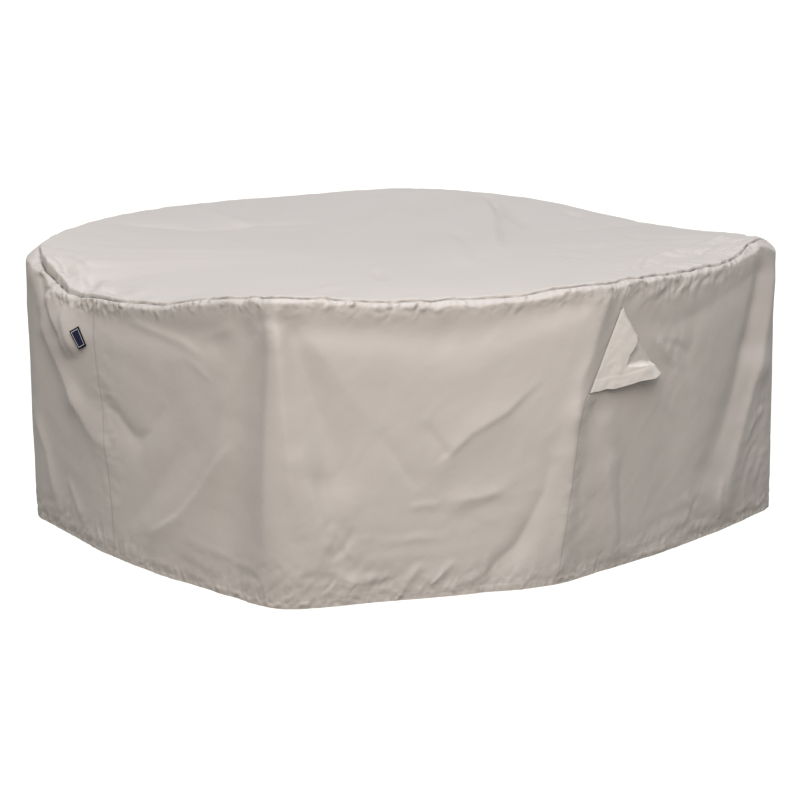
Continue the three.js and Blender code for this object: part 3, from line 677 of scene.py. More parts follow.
def zone_relief(x, z, zones, length_of, closed_length):
    """The height of the crumpled places at points x, z. length_of turns a row's x into the same lengths."""
    too_weak = 0.03
    relief = np.zeros_like(x)
    for seed, zone in enumerate(zones):
        off_x = (x - length_of(zone.x) + closed_length / 2) % closed_length - closed_length / 2
        strength = np.exp(-((off_x / zone.wide) ** 2) - ((z - zone.z) / zone.high) ** 2)
        near = strength > too_weak
        points = np.column_stack([off_x[near], z[near]])
        patches = 0.65 * facets(points, zone.size, zone.stretch, zone.turn, seed)
        patches += 0.5 * facets(points, 0.7 * zone.size, zone.stretch, zone.turn - 0.9, seed + 40)
        relief[near] += zone.out * strength[near] * patches
    return relief


print("crumpled places:", len(SKIRT_ZONES) + len(TOP_ZONES))

# %% [markdown]
# ## The skirt's surface
#
# Below the rim seam a flange of cloth slopes outwards, where the seam's folded edges stiffen it, and then the
# skirt hangs to the ground. down_length is measured along the cloth from the seam.

# %% Where each point of the skirt hangs
CLOTH_LENGTH = 900
HEM_HEIGHT = 24

# The middle of the front, from which the rim grows calmer on both ways round
FRONT_U = 1.55
CALM_FALL = 0.075

RIM_SWING = 8
GROOVE_DEPTH, GROOVE_WIDTH = 6, 2.8
# The width of the shade painted along the rim seam
PAINTED_SHADE_WIDTH = 2.6

# The flange is longer where the rim's shoulder is deeper than this
PLAIN_SHOULDER = 30
LONGEST_FLANGE = 76
FLANGE_FALL = 0.78


def at_left_corner(u, reach, power=2):
    """1 at the left corner, where the cloth rolls over a chair's back, and falling to 0 beside it."""
    return np.exp(-((around(u) / reach) ** power))


def pulled_about(u):
    """How uneven the rim is: 1 in front, and calmer behind and at the left corner."""
    calm = np.clip(1.2 - CALM_FALL * around(u - FRONT_U) ** 4, 0.12, 1)
    return calm * (1 - 0.8 * at_left_corner(u, 0.12))


def rim_wave(u):
    """How far the rim seam rises and drops."""
    return RIM_SWING * pulled_about(u) * (on_line(round_length(u), RIM_WAVE) - 0.45)


def groove(from_seam):
    """How deep the cloth is drawn in at the rim seam."""
    return GROOVE_DEPTH * bell(from_seam, GROOVE_WIDTH)


def rim_slit(u, from_seam):
    """How much shade is painted along the rim seam's gap, from 0 to 1. It is uneven along the seam, and weaker
    at the left corner.
    """
    shade_strength = np.clip(1.3 * on_line(round_length(u), PAINTED_SHADE_WAVE) - 0.05, 0.12, 1)
    closed = 1 - 0.8 * at_left_corner(u, 0.12)
    return closed * shade_strength * bell(from_seam, PAINTED_SHADE_WIDTH)


def flange_length(u):
    """The length of cloth that slopes outwards below the rim seam."""
    extra = np.maximum(rim_value(u, 2) - PLAIN_SHOULDER, 0)
    length = 7 + 15 * on_line(round_length(u), FLANGE_WAVE) + 0.052 * extra**2
    return np.minimum(length, LONGEST_FLANGE)


def skirt_shape(u, down_length, fine=True):
    """Places of the skirt in metres, at u round the cloth and down_length millimetres below the rim seam."""
    flange = flange_length(u)
    inset = np.minimum(0.8 * flange + 4, 48)
    inset += (46 - inset) * at_left_corner(u, 0.11, 4)
    down = np.clip((down_length - flange) / (CLOTH_LENGTH - flange), 0, 1)
    wall_u = u + leaning(u, down)
    rim = rim_value(wall_u, 1) + rim_wave(u)
    z = (rim - FLANGE_FALL * np.minimum(down_length, flange)) * (1 - down)
    # The flange is a plain slope, but bends over softly at the left corner
    roll = 1 + 0.4 * at_left_corner(u, 0.13)
    out = large_relief(wall_u, z) - inset * np.clip(1 - down_length / flange, 0, 1) ** roll
    out += wall_creases(wall_u, z, CREASES)
    if fine:
        out += fine_relief(u, wall_u, z, down_length, flange)
        z = z - groove(down_length)
    plan = plan_places(wall_u, down) + plan_outward(wall_u, down) * out[:, None]
    return np.column_stack([plan, z]) * MM


def fine_relief(u, wall_u, z, down_length, flange):
    """The heights of everything that is too small for the tables of folds and creases."""
    along = round_length(wall_u) % AROUND
    relief = pucker_relief(along, down_length, RIM_PUCKERS, AROUND) * np.clip(down_length / 5, 0.25, 1)
    relief *= pulled_about(u)
    relief += pucker_relief(along, np.maximum(z - 8, 0), HEM_PUCKERS, AROUND)
    relief += 7 * (on_line(along, HEM_WAVE) - 0.5) * bell(z, 90)
    for seam in SEAMS:
        beside = np.abs(around(u - seam.u)) * SIDE_WIDTH
        relief += pucker_relief(z, beside, SEAM_PUCKERS, 4000) * np.clip(beside / 6, 0.2, 1)
        relief -= 0.35 * bell(beside, 3)
    # The flange's rounded edge, the row of stitches that draws the hem in, and the hem's second layer
    relief -= 1.0 * bell(down_length - flange, 5)
    relief -= 0.3 * bell(z - HEM_HEIGHT, 3)
    relief += 0.15 * (z < HEM_HEIGHT)
    # The patches lie flatter near the rim, where the seam holds the cloth
    wall = np.column_stack([along, z])
    held = np.clip(down_length / 120, 0.15, 1)
    relief += held * (patch_relief(wall, SKIRT_PATCHES) + 4 * soft_noise(wall, 330, 4.4))
    zones = zone_relief(along, z, SKIRT_ZONES, round_length, AROUND)
    return relief + zones * np.clip(down_length / 10, 0, 1)


print("the flange is", round(flange_length(RIM_ROWS[:, 0]).min()), "to", LONGEST_FLANGE, "mm long")

# %% [markdown]
# ## The top's surface
#
# The top is one piece, stretched over the chair backs. It follows the rim seam all round, and sinks towards
# its middle, where only the table would be under it. Beside the left corner it is pulled down over a chair's
# back, so the seam lies lower than the edge there. rise in the table is how far the top stands above the seam
# just inside it. The creases of the top have the columns of the skirt's, with x and y in their lines.

# %% Where each point of the top lies
MIDDLE_HEIGHT = 870

# How late the top turns up towards the rim, for its broad shape and for the rim's short swings
BROAD_REACH, SHORT_REACH = 2.2, 7
BROAD_WIDTH = 0.45

Lip = namedtuple("Lip", "u rise")
LIPS = [
    Lip(0, 5), Lip(0.08, 20), Lip(0.17, 40), Lip(0.25, 28), Lip(0.34, 10), Lip(0.6, 4), Lip(1, 4),
    Lip(1.5, 4), Lip(2, 5), Lip(2.6, 6), Lip(2.8, 4), Lip(3, 3), Lip(3.3, 4), Lip(4.5, 5), Lip(5.5, 5),
    Lip(6.8, 6), Lip(7, 5),
]
LIP_ROWS = np.array(LIPS, float)

# The top is seen at a low angle, where a crease shows only if it is deep, so each is deepened by this
TOP_CREASE_DEPTH = 1.4
TOP_RADIUS = 1200

# A length that is longer than the cover, for patterns that don't run round it
NOT_CLOSED = 9999

TOP_CREASES = [
    # Long creases that run to the rear
    Crease([(312, 1090), (330, 760), (322, 300), (311, -180)], 12, 20, 80, 0.7, 0.1, 0.4),
    Crease([(300, 1100), (345, 900), (372, 640), (350, 380)], -7, 60, 22, 0.6, 0.1, 0.4),
    Crease([(335, 1010), (362, 860), (420, 640), (450, 500)], -9, 15, 15, 0.5, 0.1, 0.4),
    Crease([(605, 873), (640, 830), (668, 794)], -9, 24, 22, 0.5),
    Crease([(165, 420), (180, 180), (192, -60), (204, -300)], 9, 18, 70, 0.7),
    # Short lines towards the right, and the dent beyond them
    Crease([(517, 158), (575, 30), (640, -110)], -6, 15, 15, 0.5),
    Crease([(500, -60), (540, -170), (575, -260)], -6, 16, 16, 0.5),
    Crease([(637, 120), (672, 30), (700, -60)], -7, 15, 16, 0.5),
    Crease([(790, 430), (850, 260), (900, 110)], -8, 16, 26, 0.5),
    Crease([(715, -560), (742, -450), (768, -340)], -13, 17, 15, 0.4),
    Crease([(770, -440), (800, -370), (830, -300)], 8, 30, 24, 0.3),
    # A long line and a broad pull at the left, and a dent in front
    Crease([(-1076, 363), (-901, 411), (-754, 388), (-583, 538), (-300, 620)], -12, 34, 24, 0.5, 0.2, 0.4),
    Crease([(-1150, -120), (-800, -60), (-300, 60)], 4, 50, 60, 0.2, 0.2, 0.5),
    Crease([(-110, -403), (-90, -560), (-82, -691)], -9, 20, 22, 0.3, 0.4, 0.3),
    # Dents and folds along the rim at the left
    Crease([(-1168, -270), (-1134, -335), (-1100, -385)], -13, 17, 18, 0.3),
    Crease([(-1050, -385), (-1026, -440), (-1022, -500)], -14, 17, 20, 0.3),
    Crease([(-962, -545), (-925, -590), (-888, -632)], -11, 18, 18, 0.3),
    Crease([(-1100, -300), (-1075, -390), (-1060, -460)], 9, 22, 18, 0.5, 0.2, 0.3),
    Crease([(-1000, -420), (-990, -490), (-985, -560)], 9, 18, 22, 0.5, 0.2, 0.3),
    Crease([(-870, -560), (-850, -640), (-838, -700)], 6, 18, 20, 0.4, 0.2, 0.3),
    # Pulls from the front left corner, and the crumpled band before the right corner
    Crease([(-360, -1190), (-300, -950), (-180, -700)], 6, 34, 40, 0.2, 0.1, 0.5),
    Crease([(831, -305), (911, -200), (991, -104)], 9, 28, 20, 0.5, 0.2, 0.3),
    Crease([(950, -120), (1060, 0), (1159, 102)], 9, 26, 20, 0.5),
    Crease([(930, -330), (960, -250), (1040, -180)], -9, 16, 18, 0.5, 0.2, 0.3),
    Crease([(1080, -190), (1090, -120), (1150, -60)], -9, 16, 18, 0.5, 0.2, 0.3),
    Crease([(1200, -80), (1000, 60), (760, 160)], 7, 40, 44, 0.3, 0.1, 0.5),
    Crease([(1190, 20), (980, 220), (780, 330)], -6, 34, 36, 0.3, 0.1, 0.5),
    # Pulls behind
    Crease([(900, 700), (700, 560), (480, 420)], -5, 40, 44, 0.2, 0.1, 0.5),
    Crease([(0, 1180), (-60, 900), (-120, 640)], 6, 44, 44, 0.2, 0.1, 0.5),
    Crease([(-830, 820), (-640, 600), (-400, 420)], 6, 44, 50, 0.2, 0.1, 0.5),
]


def broad_rim(u):
    """The rim's height without its short swings."""
    offsets = [-1, -0.6, -0.3, 0, 0.3, 0.6, 1]
    return sum(rim_value(u + offset * BROAD_WIDTH, 1) for offset in offsets) / len(offsets)


def top_shape(u, share):
    """Places of the top in metres, share of the way from its middle to the rim seam."""
    rim = skirt_shape(u, np.zeros_like(u)) / MM
    rim[:, 2] += groove(0)
    x, y = rim[:, 0] * share, rim[:, 1] * share
    broad = broad_rim(u)
    z = MIDDLE_HEIGHT + (broad - MIDDLE_HEIGHT) * share**BROAD_REACH
    z += (rim[:, 2] - broad) * share**SHORT_REACH
    z += large_top_relief(x, y) * np.sin(np.pi * share**1.5) ** 0.6
    from_seam = np.hypot(rim[:, 0], rim[:, 1]) * (1 - share)
    rise = np.interp(u % SIDE_COUNT, LIP_ROWS[:, 0], LIP_ROWS[:, 1])
    rolled = (1 - bell(from_seam, 3 + 0.13 * rise)) * np.exp(-from_seam / 220)
    z += rise * rolled
    # A high edge rolls out over the seam
    out = 0.3 * rise * rolled * np.exp(-from_seam / 60)
    x, y = x * (1 + out / TOP_RADIUS), y * (1 + out / TOP_RADIUS)
    relief = TOP_CREASE_DEPTH * sum(crease_relief(x, y, crease.line, crease) for crease in TOP_CREASES)
    flat = np.column_stack([x, y])
    relief += patch_relief(flat, TOP_PATCHES) + 3 * soft_noise(flat, 420, 9.4)
    relief *= np.clip(from_seam / 30, 0, 1)
    relief += zone_relief(x, y, TOP_ZONES, float, NOT_CLOSED) * np.clip(from_seam / 12, 0, 1)
    along = round_length(u) % AROUND
    puckers = pucker_relief(along, from_seam, TOP_PUCKERS, AROUND) * np.clip(from_seam / 6, 0, 1)
    relief += puckers * pulled_about(u)
    relief -= groove(from_seam)
    return np.column_stack([x, y, z + relief]) * MM


print("creases in the top:", len(TOP_CREASES))

# %% [markdown]
# ## Sheets
#
# Each sheet starts as a flat grid, as the cloth was cut, and its points are then laid where the cloth hangs.
# The flat lengths also become the sheet's UV map, so that the weave follows the cloth through every fold.

# %% Lay a grid as cloth
def mesh_of(name, shape):
    """A mesh from a bmesh, which isn't needed any more."""
    mesh = bpy.data.meshes.new(name)
    shape.to_mesh(mesh)
    shape.free()
    return mesh


def grid_shares(columns, rows, divide=None):
    """A grid mesh, and its points' shares across and down. divide may halve some of its faces."""
    grid = bmesh.new()
    bmesh.ops.create_grid(grid, x_segments=columns, y_segments=rows, size=0.5)
    if divide is not None:
        divide(grid)
    mesh = mesh_of("grid", grid)
    places = np.empty(3 * len(mesh.vertices))
    mesh.vertices.foreach_get("co", places)
    places = places.reshape(-1, 3)
    return mesh, places[:, 0] + 0.5, 0.5 - places[:, 1]


def from_middle(places):
    """Places of the tables, seen from the middle of the cover's box instead."""
    return places + np.array([*MIDDLE, 0]) * MM


def lay(mesh, places, flat, **attributes):
    """Moves a mesh's points to their places. flat is its shape when it was cut, and the attributes are for its
    material: the first is the shade painted into its seams and dents, and gathered is how much the sewing
    gathers it."""
    mesh.vertices.foreach_set("co", from_middle(places).ravel())
    for name, values in attributes.items():
        mesh.attributes.new(name, "FLOAT", "POINT").data.foreach_set("value", values)
    uv_map = mesh.uv_layers.new(name="UVMap")
    corners = np.empty(len(mesh.loops), int)
    mesh.loops.foreach_get("vertex_index", corners)
    uv_map.data.foreach_set("uv", (flat[corners] * MM).ravel())
    mesh.update()


def cut_borders(mesh):
    """Keeps a sheet's cut borders sharp, so that its thickness doesn't look like a round edge."""
    sheet = bmesh.new()
    sheet.from_mesh(mesh)
    for edge in sheet.edges:
        edge.smooth = not edge.is_boundary
    sheet.to_mesh(mesh)
    sheet.free()


def smooth_in(mesh, material):
    """Gives a mesh its material, and smooth shading."""
    mesh.materials.append(material)
    mesh.polygons.foreach_set("use_smooth", [True] * len(mesh.polygons))


def cloth_object(name, mesh, material, thickness):
    """A sheet of cloth from a laid mesh. Its thickness goes inwards, and is in metres."""
    mesh.name = name
    smooth_in(mesh, material)
    cut_borders(mesh)
    cloth = placed(name, mesh)
    solidify = cloth.modifiers.new("thickness", "SOLIDIFY")
    solidify.thickness = thickness
    solidify.offset = -1
    print(name, "has", len(mesh.polygons), "faces")
    return cloth


print("sheets are laid", MIDDLE, "mm from the places in the tables")

# %% [markdown]
# ## Cloth material
#
# The cloth is a plain weave of thin polyester yarn with a coating. It is pale warm grey, smooth enough for a
# broad sheen on each fold, and the weave shows only from close by. The coating is a little uneven, and the
# cloth is a little darker, in uneven specks, near the ground. Shade is painted into the gaps of the seams,
# along the hood's sewn left edge and into its dent. Folds that are smaller than the mesh's faces are a bump,
# and so is the weave. In the photograph the hood is lighter than the walls beside it, so its cloth is a lighter
# copy of theirs: painted light, for the light that the hood catches where it stands off.

# %% Functions for materials
def linear(red, green, blue):
    """A colour as a screen counts it, from 0 to 255, turned into the shader's own count."""
    return [((value / 255 + 0.055) / 1.055) ** 2.4 for value in (red, green, blue)] + [1]


def darker(color, share):
    """A colour with only a share of its brightness."""
    return [channel * share for channel in color[:3]] + [1]


def new_material(name, constants):
    """A material, its nodes and its shader, which is given the constants."""
    material = bpy.data.materials.new(name)
    material.use_nodes = True
    shader = material.node_tree.nodes["Principled BSDF"]
    for socket, value in constants.items():
        shader.inputs[socket].default_value = value
    return material, material.node_tree, shader


def node(tree, kind, inputs, **settings):
    """Adds a node and returns its outputs. Each input takes a value, or another node's output."""
    made = tree.nodes.new("ShaderNode" + kind)
    for setting, value in settings.items():
        setattr(made, setting, value)
    for socket, value in inputs.items():
        if isinstance(value, bpy.types.NodeSocket):
            tree.links.new(value, made.inputs[socket])
        else:
            made.inputs[socket].default_value = value
    return made.outputs


def calculated(tree, operation, first, second):
    """A number worked out from two others."""
    return node(tree, "Math", {0: first, 1: second}, operation=operation)["Value"]


def mixed(tree, share, first, second, **settings):
    """A colour between two, or made of both in the way that the settings say."""
    inputs = {"Factor": share, "A": first, "B": second}
    return node(tree, "Mix", inputs, data_type="RGBA", **settings)["Result"]


def cloudy(tree, place, scale, detail, roughness, kind="FBM"):
    """A number that changes softly from place to place, as a noise pattern does."""
    inputs = {"Vector": place, "Scale": scale, "Detail": detail, "Roughness": roughness}
    return node(tree, "TexNoise", inputs, noise_type=kind)["Fac"]


def bumped(tree, height, strength, distance, under=None):
    """A bump of the given height, on top of the bump under it if there is one."""
    inputs = {"Height": height, "Strength": strength, "Distance": distance}
    if under is not None:
        inputs["Normal"] = under
    return node(tree, "Bump", inputs)["Normal"]


print("a middle grey is", round(linear(128, 128, 128)[0], 3), "to a shader")

# %% Weave, coating and colour
WEAVE_SCALE = 260
CLOTH_FINISH = {"Roughness": 0.52, "Specular IOR Level": 0.4, "Sheen Weight": 0.1, "Sheen Roughness": 0.4}


def cloth_material(name, color, shade):
    """The cover's cloth in one colour, with shade for its duller places."""
    material, tree, shader = new_material(name, CLOTH_FINISH)
    place = node(tree, "TexCoord", {})
    on_cloth = place["Object"]

    # Broad, faint changes of colour in the coating
    tint = mixed(tree, cloudy(tree, on_cloth, 3.0, 5.0, 0.6), shade, color)

    # Darker in uneven specks over the lowest hand's width, above the ground
    height = node(tree, "SeparateXYZ", {"Vector": on_cloth})["Z"]
    low = {"Value": height, "From Min": 0.16, "From Max": 0.0, "To Max": 0.75}
    specks = cloudy(tree, on_cloth, 42.0, 6.0, 0.7)
    low_darkening = calculated(tree, "MULTIPLY", node(tree, "MapRange", low)["Result"], specks)
    darkened_low = mixed(tree, low_darkening, tint, darker(shade, 0.72))

    # Painted shade: the attribute darkens the gaps of the seams, the hood's sewn left edge and its dent, where
    # little light gets in
    slit = node(tree, "Attribute", {}, attribute_name="slit")["Fac"]
    shaded = mixed(tree, slit, darkened_low, darker(shade, 0.12))
    tree.links.new(shaded, shader.inputs["Base Color"])

    # Sharp little folds where the sewing gathers the cloth
    gathers = cloudy(tree, on_cloth, 34.0, 3.0, 0.5, "RIDGED_MULTIFRACTAL")
    gathered = node(tree, "Attribute", {}, attribute_name="gathered")["Fac"]
    relief = bumped(tree, calculated(tree, "MULTIPLY", gathers, gathered), 1.0, 0.013)

    # The fine crumple that is too small for the mesh
    relief = bumped(tree, cloudy(tree, on_cloth, 46.0, 4.0, 0.55), 0.2, 0.003, relief)

    # Warp and weft, a yarn every 1.2 mm
    yarns = {"Vector": place["UV"], "Scale": WEAVE_SCALE}
    warp = node(tree, "TexWave", yarns, bands_direction="X")["Fac"]
    weft = node(tree, "TexWave", yarns, bands_direction="Y")["Fac"]
    relief = bumped(tree, calculated(tree, "MAXIMUM", warp, weft), 0.2, 0.0002, relief)
    tree.links.new(relief, shader.inputs["Normal"])
    print(name, "has", len(tree.nodes), "nodes")
    return material


cover_cloth = cloth_material("cover_cloth", linear(187, 178, 167), linear(181, 172, 160))
# The hood's cloth: a lighter copy of the same cloth, with painted light for the light it catches where it
# stands off
painted_light_cloth = cloth_material("painted_light_cloth", linear(214, 205, 192), linear(208, 199, 186))

# %% [markdown]
# ## Letting a panel settle
#
# The tables give a panel its main folds. The wrinkles between them come from the cloth itself: it was cut a
# little wider than the wall that it covers, so it has to go somewhere. Blender's cloth simulation works that
# out on a coarse copy of the panel. The copy's rest shape is the flat cut, its four edges are held, and every
# other point is drawn lightly back to its place, so that the main folds stay. What comes out is how far each
# point of the copy moved, and the fine sheet is moved by the same amounts.

# %% Settle a coarse copy of a panel
SETTLE_CELL = 13
SETTLE_FRAMES = 14
EXTRA_WIDTH = 0.005
EXTRA_LENGTH = 0.002
HELD = 0.25
PLAIN_FLANGE = 20
CLOTH_SETTINGS = {
    "quality": 5, "mass": 0.2, "tension_stiffness": 20, "compression_stiffness": 20, "shear_stiffness": 8,
    "bending_stiffness": 0.8, "tension_damping": 5, "compression_damping": 5, "shear_damping": 5,
    "air_damping": 2, "pin_stiffness": 1,
}


def flat_cut(mesh_places, across, down, reference_u, wall_u):
    """The flat shape of a panel: its rows' real lengths, and their heights, measured on its smooth wall."""
    cut = np.zeros_like(mesh_places)
    for row in np.unique(np.round(down, 6)):
        points = np.flatnonzero(np.abs(down - row) < 1e-5)
        points = points[np.argsort(across[points])]
        steps = np.linalg.norm(np.diff(mesh_places[points, 0:2], axis=0), axis=1)
        lengths = np.append(0, np.cumsum(steps))
        # Every row is measured from the same upright line
        lengths -= np.interp(reference_u, wall_u[points], lengths)
        cut[points, 0] = lengths * (1 + EXTRA_WIDTH)
    cut[:, 2] = mesh_places[:, 2] * (1 + EXTRA_LENGTH)
    return cut


def settle(name, start, end, reference_u):
    """How far a coarse copy of the panel from start to end moves: an array of rows, columns and x, y, z."""
    width = round_length(end) - round_length(start)
    columns, rows = round(width / SETTLE_CELL), round(CLOTH_LENGTH / SETTLE_CELL)
    mesh, across, down = grid_shares(columns, rows)
    u = start + (end - start) * across
    before = skirt_shape(u, CLOTH_LENGTH * down, fine=False)
    mesh.vertices.foreach_set("co", before.ravel())
    at_row, at_column = np.round(down * rows).astype(int), np.round(across * columns).astype(int)
    moved = np.zeros((rows + 1, columns + 1, 3))
    # The same wall with a plain flange and no folds, from which the flat cut is measured
    smooth_down = np.clip((CLOTH_LENGTH * down - PLAIN_FLANGE) / (CLOTH_LENGTH - PLAIN_FLANGE), 0, 1)
    wall_u = u + leaning(u, smooth_down)
    wall = np.column_stack([plan_places(wall_u, smooth_down) * MM, before[:, 2]])
    cloth = placed(name, mesh)
    cloth.shape_key_add(name="hung")
    cut = cloth.shape_key_add(name="cut")
    cut.data.foreach_set("co", flat_cut(wall, across, down, reference_u, wall_u).ravel())
    held = cloth.vertex_groups.new(name="held")
    border = (at_row == 0) | (at_row == rows) | (at_column == 0) | (at_column == columns)
    held.add(np.flatnonzero(border).tolist(), 1.0, "REPLACE")
    held.add(np.flatnonzero(~border).tolist(), HELD, "REPLACE")
    modifier = cloth.modifiers.new("settle", "CLOTH")
    settings = modifier.settings
    for setting, value in CLOTH_SETTINGS.items():
        setattr(settings, setting, value)
    settings.vertex_group_mass = "held"
    settings.rest_shape_key = cut
    settings.effector_weights.gravity = 0.1
    modifier.collision_settings.use_collision = False
    modifier.point_cache.frame_start = 1
    modifier.point_cache.frame_end = SETTLE_FRAMES
    for step in range(1, SETTLE_FRAMES + 1):
        bpy.context.scene.frame_set(step)
    settled = cloth.evaluated_get(bpy.context.evaluated_depsgraph_get())
    after = np.empty(3 * len(mesh.vertices))
    settled.data.vertices.foreach_get("co", after)
    moved[at_row, at_column] = after.reshape(-1, 3) - before
    bpy.data.objects.remove(cloth)
    bpy.data.meshes.remove(mesh)
    bpy.context.scene.frame_set(1)
    lengths = np.linalg.norm(moved, axis=2) / MM
    print(name, "moves", round(lengths.mean(), 1), "mm, at most", round(lengths.max(), 1))
    return moved


def between_points(grid, across, down):
    """Values of a grid of points anywhere between them, on smooth curves."""
    def four(place, count):
        """The four points round a place, and how much each counts."""
        cell = np.clip(np.floor(place).astype(int), 0, count - 2)
        share = place - cell
        weights = [
            -0.5 * share * (1 - share) ** 2,
            1 - 2.5 * share**2 + 1.5 * share**3,
            0.5 * share + 2 * share**2 - 1.5 * share**3,
            -0.5 * share**2 * (1 - share),
        ]
        return [np.clip(cell + step, 0, count - 1) for step in (-1, 0, 1, 2)], weights

    rows, row_weights = four(down * (grid.shape[0] - 1), grid.shape[0])
    columns, column_weights = four(across * (grid.shape[1] - 1), grid.shape[1])
    values = 0
    for row, row_weight in zip(rows, row_weights):
        for column, column_weight in zip(columns, column_weights):
            values = values + grid[row, column] * (row_weight * column_weight)[:, None]
    return values


# %% [markdown]
# ## Skirt panels
#
# Each panel runs from one seam to the next, and is drawn back by a fraction of a millimetre at its edges, so
# that the panels meet but don't touch. Its coarse copy settles first. The faces near the rim and the hem are
# divided once more, because the puckers and gathers there are small.

# %% Hang the four skirt panels
CELL = 8.4
SEAM_GAP = 0.3
RIM_BAND = 66
HEM_BAND = 84
CLOTH_THICKNESS = 1.6

# How much shade is painted along a seam between two panels, and how far from rim and hem the sewing gathers the
# cloth
PAINTED_SEAM_SHADE = 0.22
GATHER_REACH = 34

Panel = namedtuple("Panel", "start end moved")
panels = {}


def divide_bands(grid):
    """Halves the faces of the rows near the rim and near the hem."""
    def in_band(edge):
        """Whether both ends of an edge are near the rim, or both near the hem."""
        downs = [(0.5 - point.co.y) * CLOTH_LENGTH for point in edge.verts]
        return max(downs) < RIM_BAND or min(downs) > CLOTH_LENGTH - HEM_BAND

    fine = [edge for edge in grid.edges if in_band(edge)]
    bmesh.ops.subdivide_edges(grid, edges=fine, cuts=1, use_grid_fill=True)


def hung(name, u, down_length, fine=True):
    """Places on a finished panel, in metres."""
    panel = panels[name]
    across = np.clip((u - panel.start) / (panel.end - panel.start), 0, 1)
    shift = between_points(panel.moved, across, np.clip(down_length / CLOTH_LENGTH, 0, 1))
    return skirt_shape(u, down_length, fine) + shift


def skirt_panel(name, start, end, reference_u):
    """The sheet of a panel from the seam at start to the seam at end, and its width in metres."""
    panels[name] = Panel(start, end, settle(name + "_coarse", start, end, reference_u))
    width = round_length(end) - round_length(start)
    mesh, across, down = grid_shares(round(width / CELL), round(CLOTH_LENGTH / CELL), divide_bands)
    down_length = CLOTH_LENGTH * down
    # The rows below the rim seam lie close together, and so do the columns beside the panel's own seams
    down_length *= 1 - 0.9 * np.exp(-down_length / 11)
    beside = np.minimum(across, 1 - across) * width
    drawn_in = 0.85 * np.exp(-beside / 12) * beside / width
    u = start + (end - start) * (across - np.where(across < 0.5, drawn_in, -drawn_in))
    edge = np.where(across < 1e-6, 1, 0) - np.where(across > 1 - 1e-6, 1, 0)
    u += edge * SEAM_GAP / 2 / SIDE_WIDTH
    # Painted shade in the rim seam's gap and along the panel's own seams
    slit = np.maximum(rim_slit(u, down_length), PAINTED_SEAM_SHADE * (beside < 1e-3))
    down_length += np.where(down < 1e-6, SEAM_GAP / 2, 0)
    flat = np.column_stack([round_length(u), -down_length])
    places = hung(name, u, down_length)
    gathered = pulled_about(u) * bell(down_length, GATHER_REACH)
    gathered += 0.6 * bell(places[:, 2] / MM, GATHER_REACH)
    lay(mesh, places, flat, slit=slit, gathered=gathered)
    panel = cloth_object(name + "_cloth", mesh, cover_cloth, CLOTH_THICKNESS * MM)
    print(name, "is", round(width), "mm wide")
    return panel, width * MM


skirt_names = ["skirt_front", "skirt_right", "skirt_back", "skirt_left"]
seam_places = [seam.u for seam in SEAMS] + [SEAMS[0].u + SIDE_COUNT]
# Each panel's flat cut is measured from an upright line at one of these
reference_places = [1, 3, 4.6, 6]
skirts = {}
for at, skirt_name in enumerate(skirt_names):
    skirts[skirt_name] = skirt_panel(skirt_name, seam_places[at], seam_places[at + 1], reference_places[at])

# %% [markdown]
# ## The top
#
# The grid's rows become rings, from the middle to the rim and ever closer. The rings near the rim need the
# smallest faces, so the grid is divided once more there. Its two ends are then joined to one round sheet.

# %% Stretch the top
TOP_COLUMNS = 400
TOP_ROWS = 76
FINE_FROM = 0.87
TOP_REACH = 1280

# The place near the right corner where the sewing gathers the top most
GATHERED_U = 2.75


def divide_near_rim(grid):
    """Halves the faces of the rings near the rim."""
    fine = [edge for edge in grid.edges if all(0.5 - point.co.y > FINE_FROM for point in edge.verts)]
    bmesh.ops.subdivide_edges(grid, edges=fine, cuts=1, use_grid_fill=True)


def top_sheet(name):
    """The top, joined to one round sheet."""
    mesh, across, down = grid_shares(TOP_COLUMNS, TOP_ROWS, divide_near_rim)
    share = 1 - (1 - down) ** 1.5
    share -= SEAM_GAP / 2 / TOP_REACH * (down > 1 - 1e-6)
    u = across * SIDE_COUNT
    places = top_shape(u, share)
    from_seam = (1 - share) * TOP_REACH
    at_right = bell(u - GATHERED_U, 0.3)
    gathered = pulled_about(u) * np.exp(-from_seam / (28 + 50 * at_right)) * (0.5 + 0.7 * at_right)
    # Painted shade in the rim seam's gap, on the top's side
    lay(mesh, places, places[:, 0:2] / MM, slit=rim_slit(u, from_seam), gathered=gathered)
    sewn = bmesh.new()
    sewn.from_mesh(mesh)
    bmesh.ops.remove_doubles(sewn, verts=sewn.verts, dist=0.00005)
    sewn.to_mesh(mesh)
    sewn.free()
    return cloth_object(name, mesh, cover_cloth, CLOTH_THICKNESS * MM)


top_cloth = top_sheet("top_cloth")

# %% [markdown]
# ## The vent hood
#
# A triangular flap covers a vent in the seam at the front right corner. Its point and its left edge are
# sewn into the seam, and its right edge to the skirt. Its hemmed lower edge stands off, and above the hem its
# right part is pushed in. It is laid on the skirt as a grid that widens downwards, and lifted off in its
# middle.

# %% Lift the hood off the skirt
HOOD_POINT, HOOD_LEFT, HOOD_RIGHT = 0.08, 0.356, 0.334
HOOD_COLUMNS, HOOD_ROWS = 52, 60
HOOD_WIDTH = 0.303
HOOD_STANDS_OFF = 34
HOOD_HEM = 38
HOOD_THICKNESS = 1.4

# Across the hood, it rises up to the first of these shares, and falls over the last part of its width
RISE_END = 0.8
FALL_PART = 0.17


def place_down(u, down):
    """The length down the cloth at a share of the wall's height."""
    flange = flange_length(u)
    return flange + down * (CLOTH_LENGTH - flange)


def hood_crease(along):
    """Where the hood's dent begins, as a share of its width."""
    return np.interp(along, [0.42, 0.474, 0.62, 0.766], [1.0, 0.85, 0.57, 0.48])


def hood_dent(across, along):
    """How far a place is inside the dent, which ends above the hem: 1 is inside and 0 is outside."""
    above_hem = np.clip((0.764 + 0.18 * (across - 0.57) - along) / 0.03, 0, 1)
    return np.where(across > hood_crease(along), above_hem, 0)


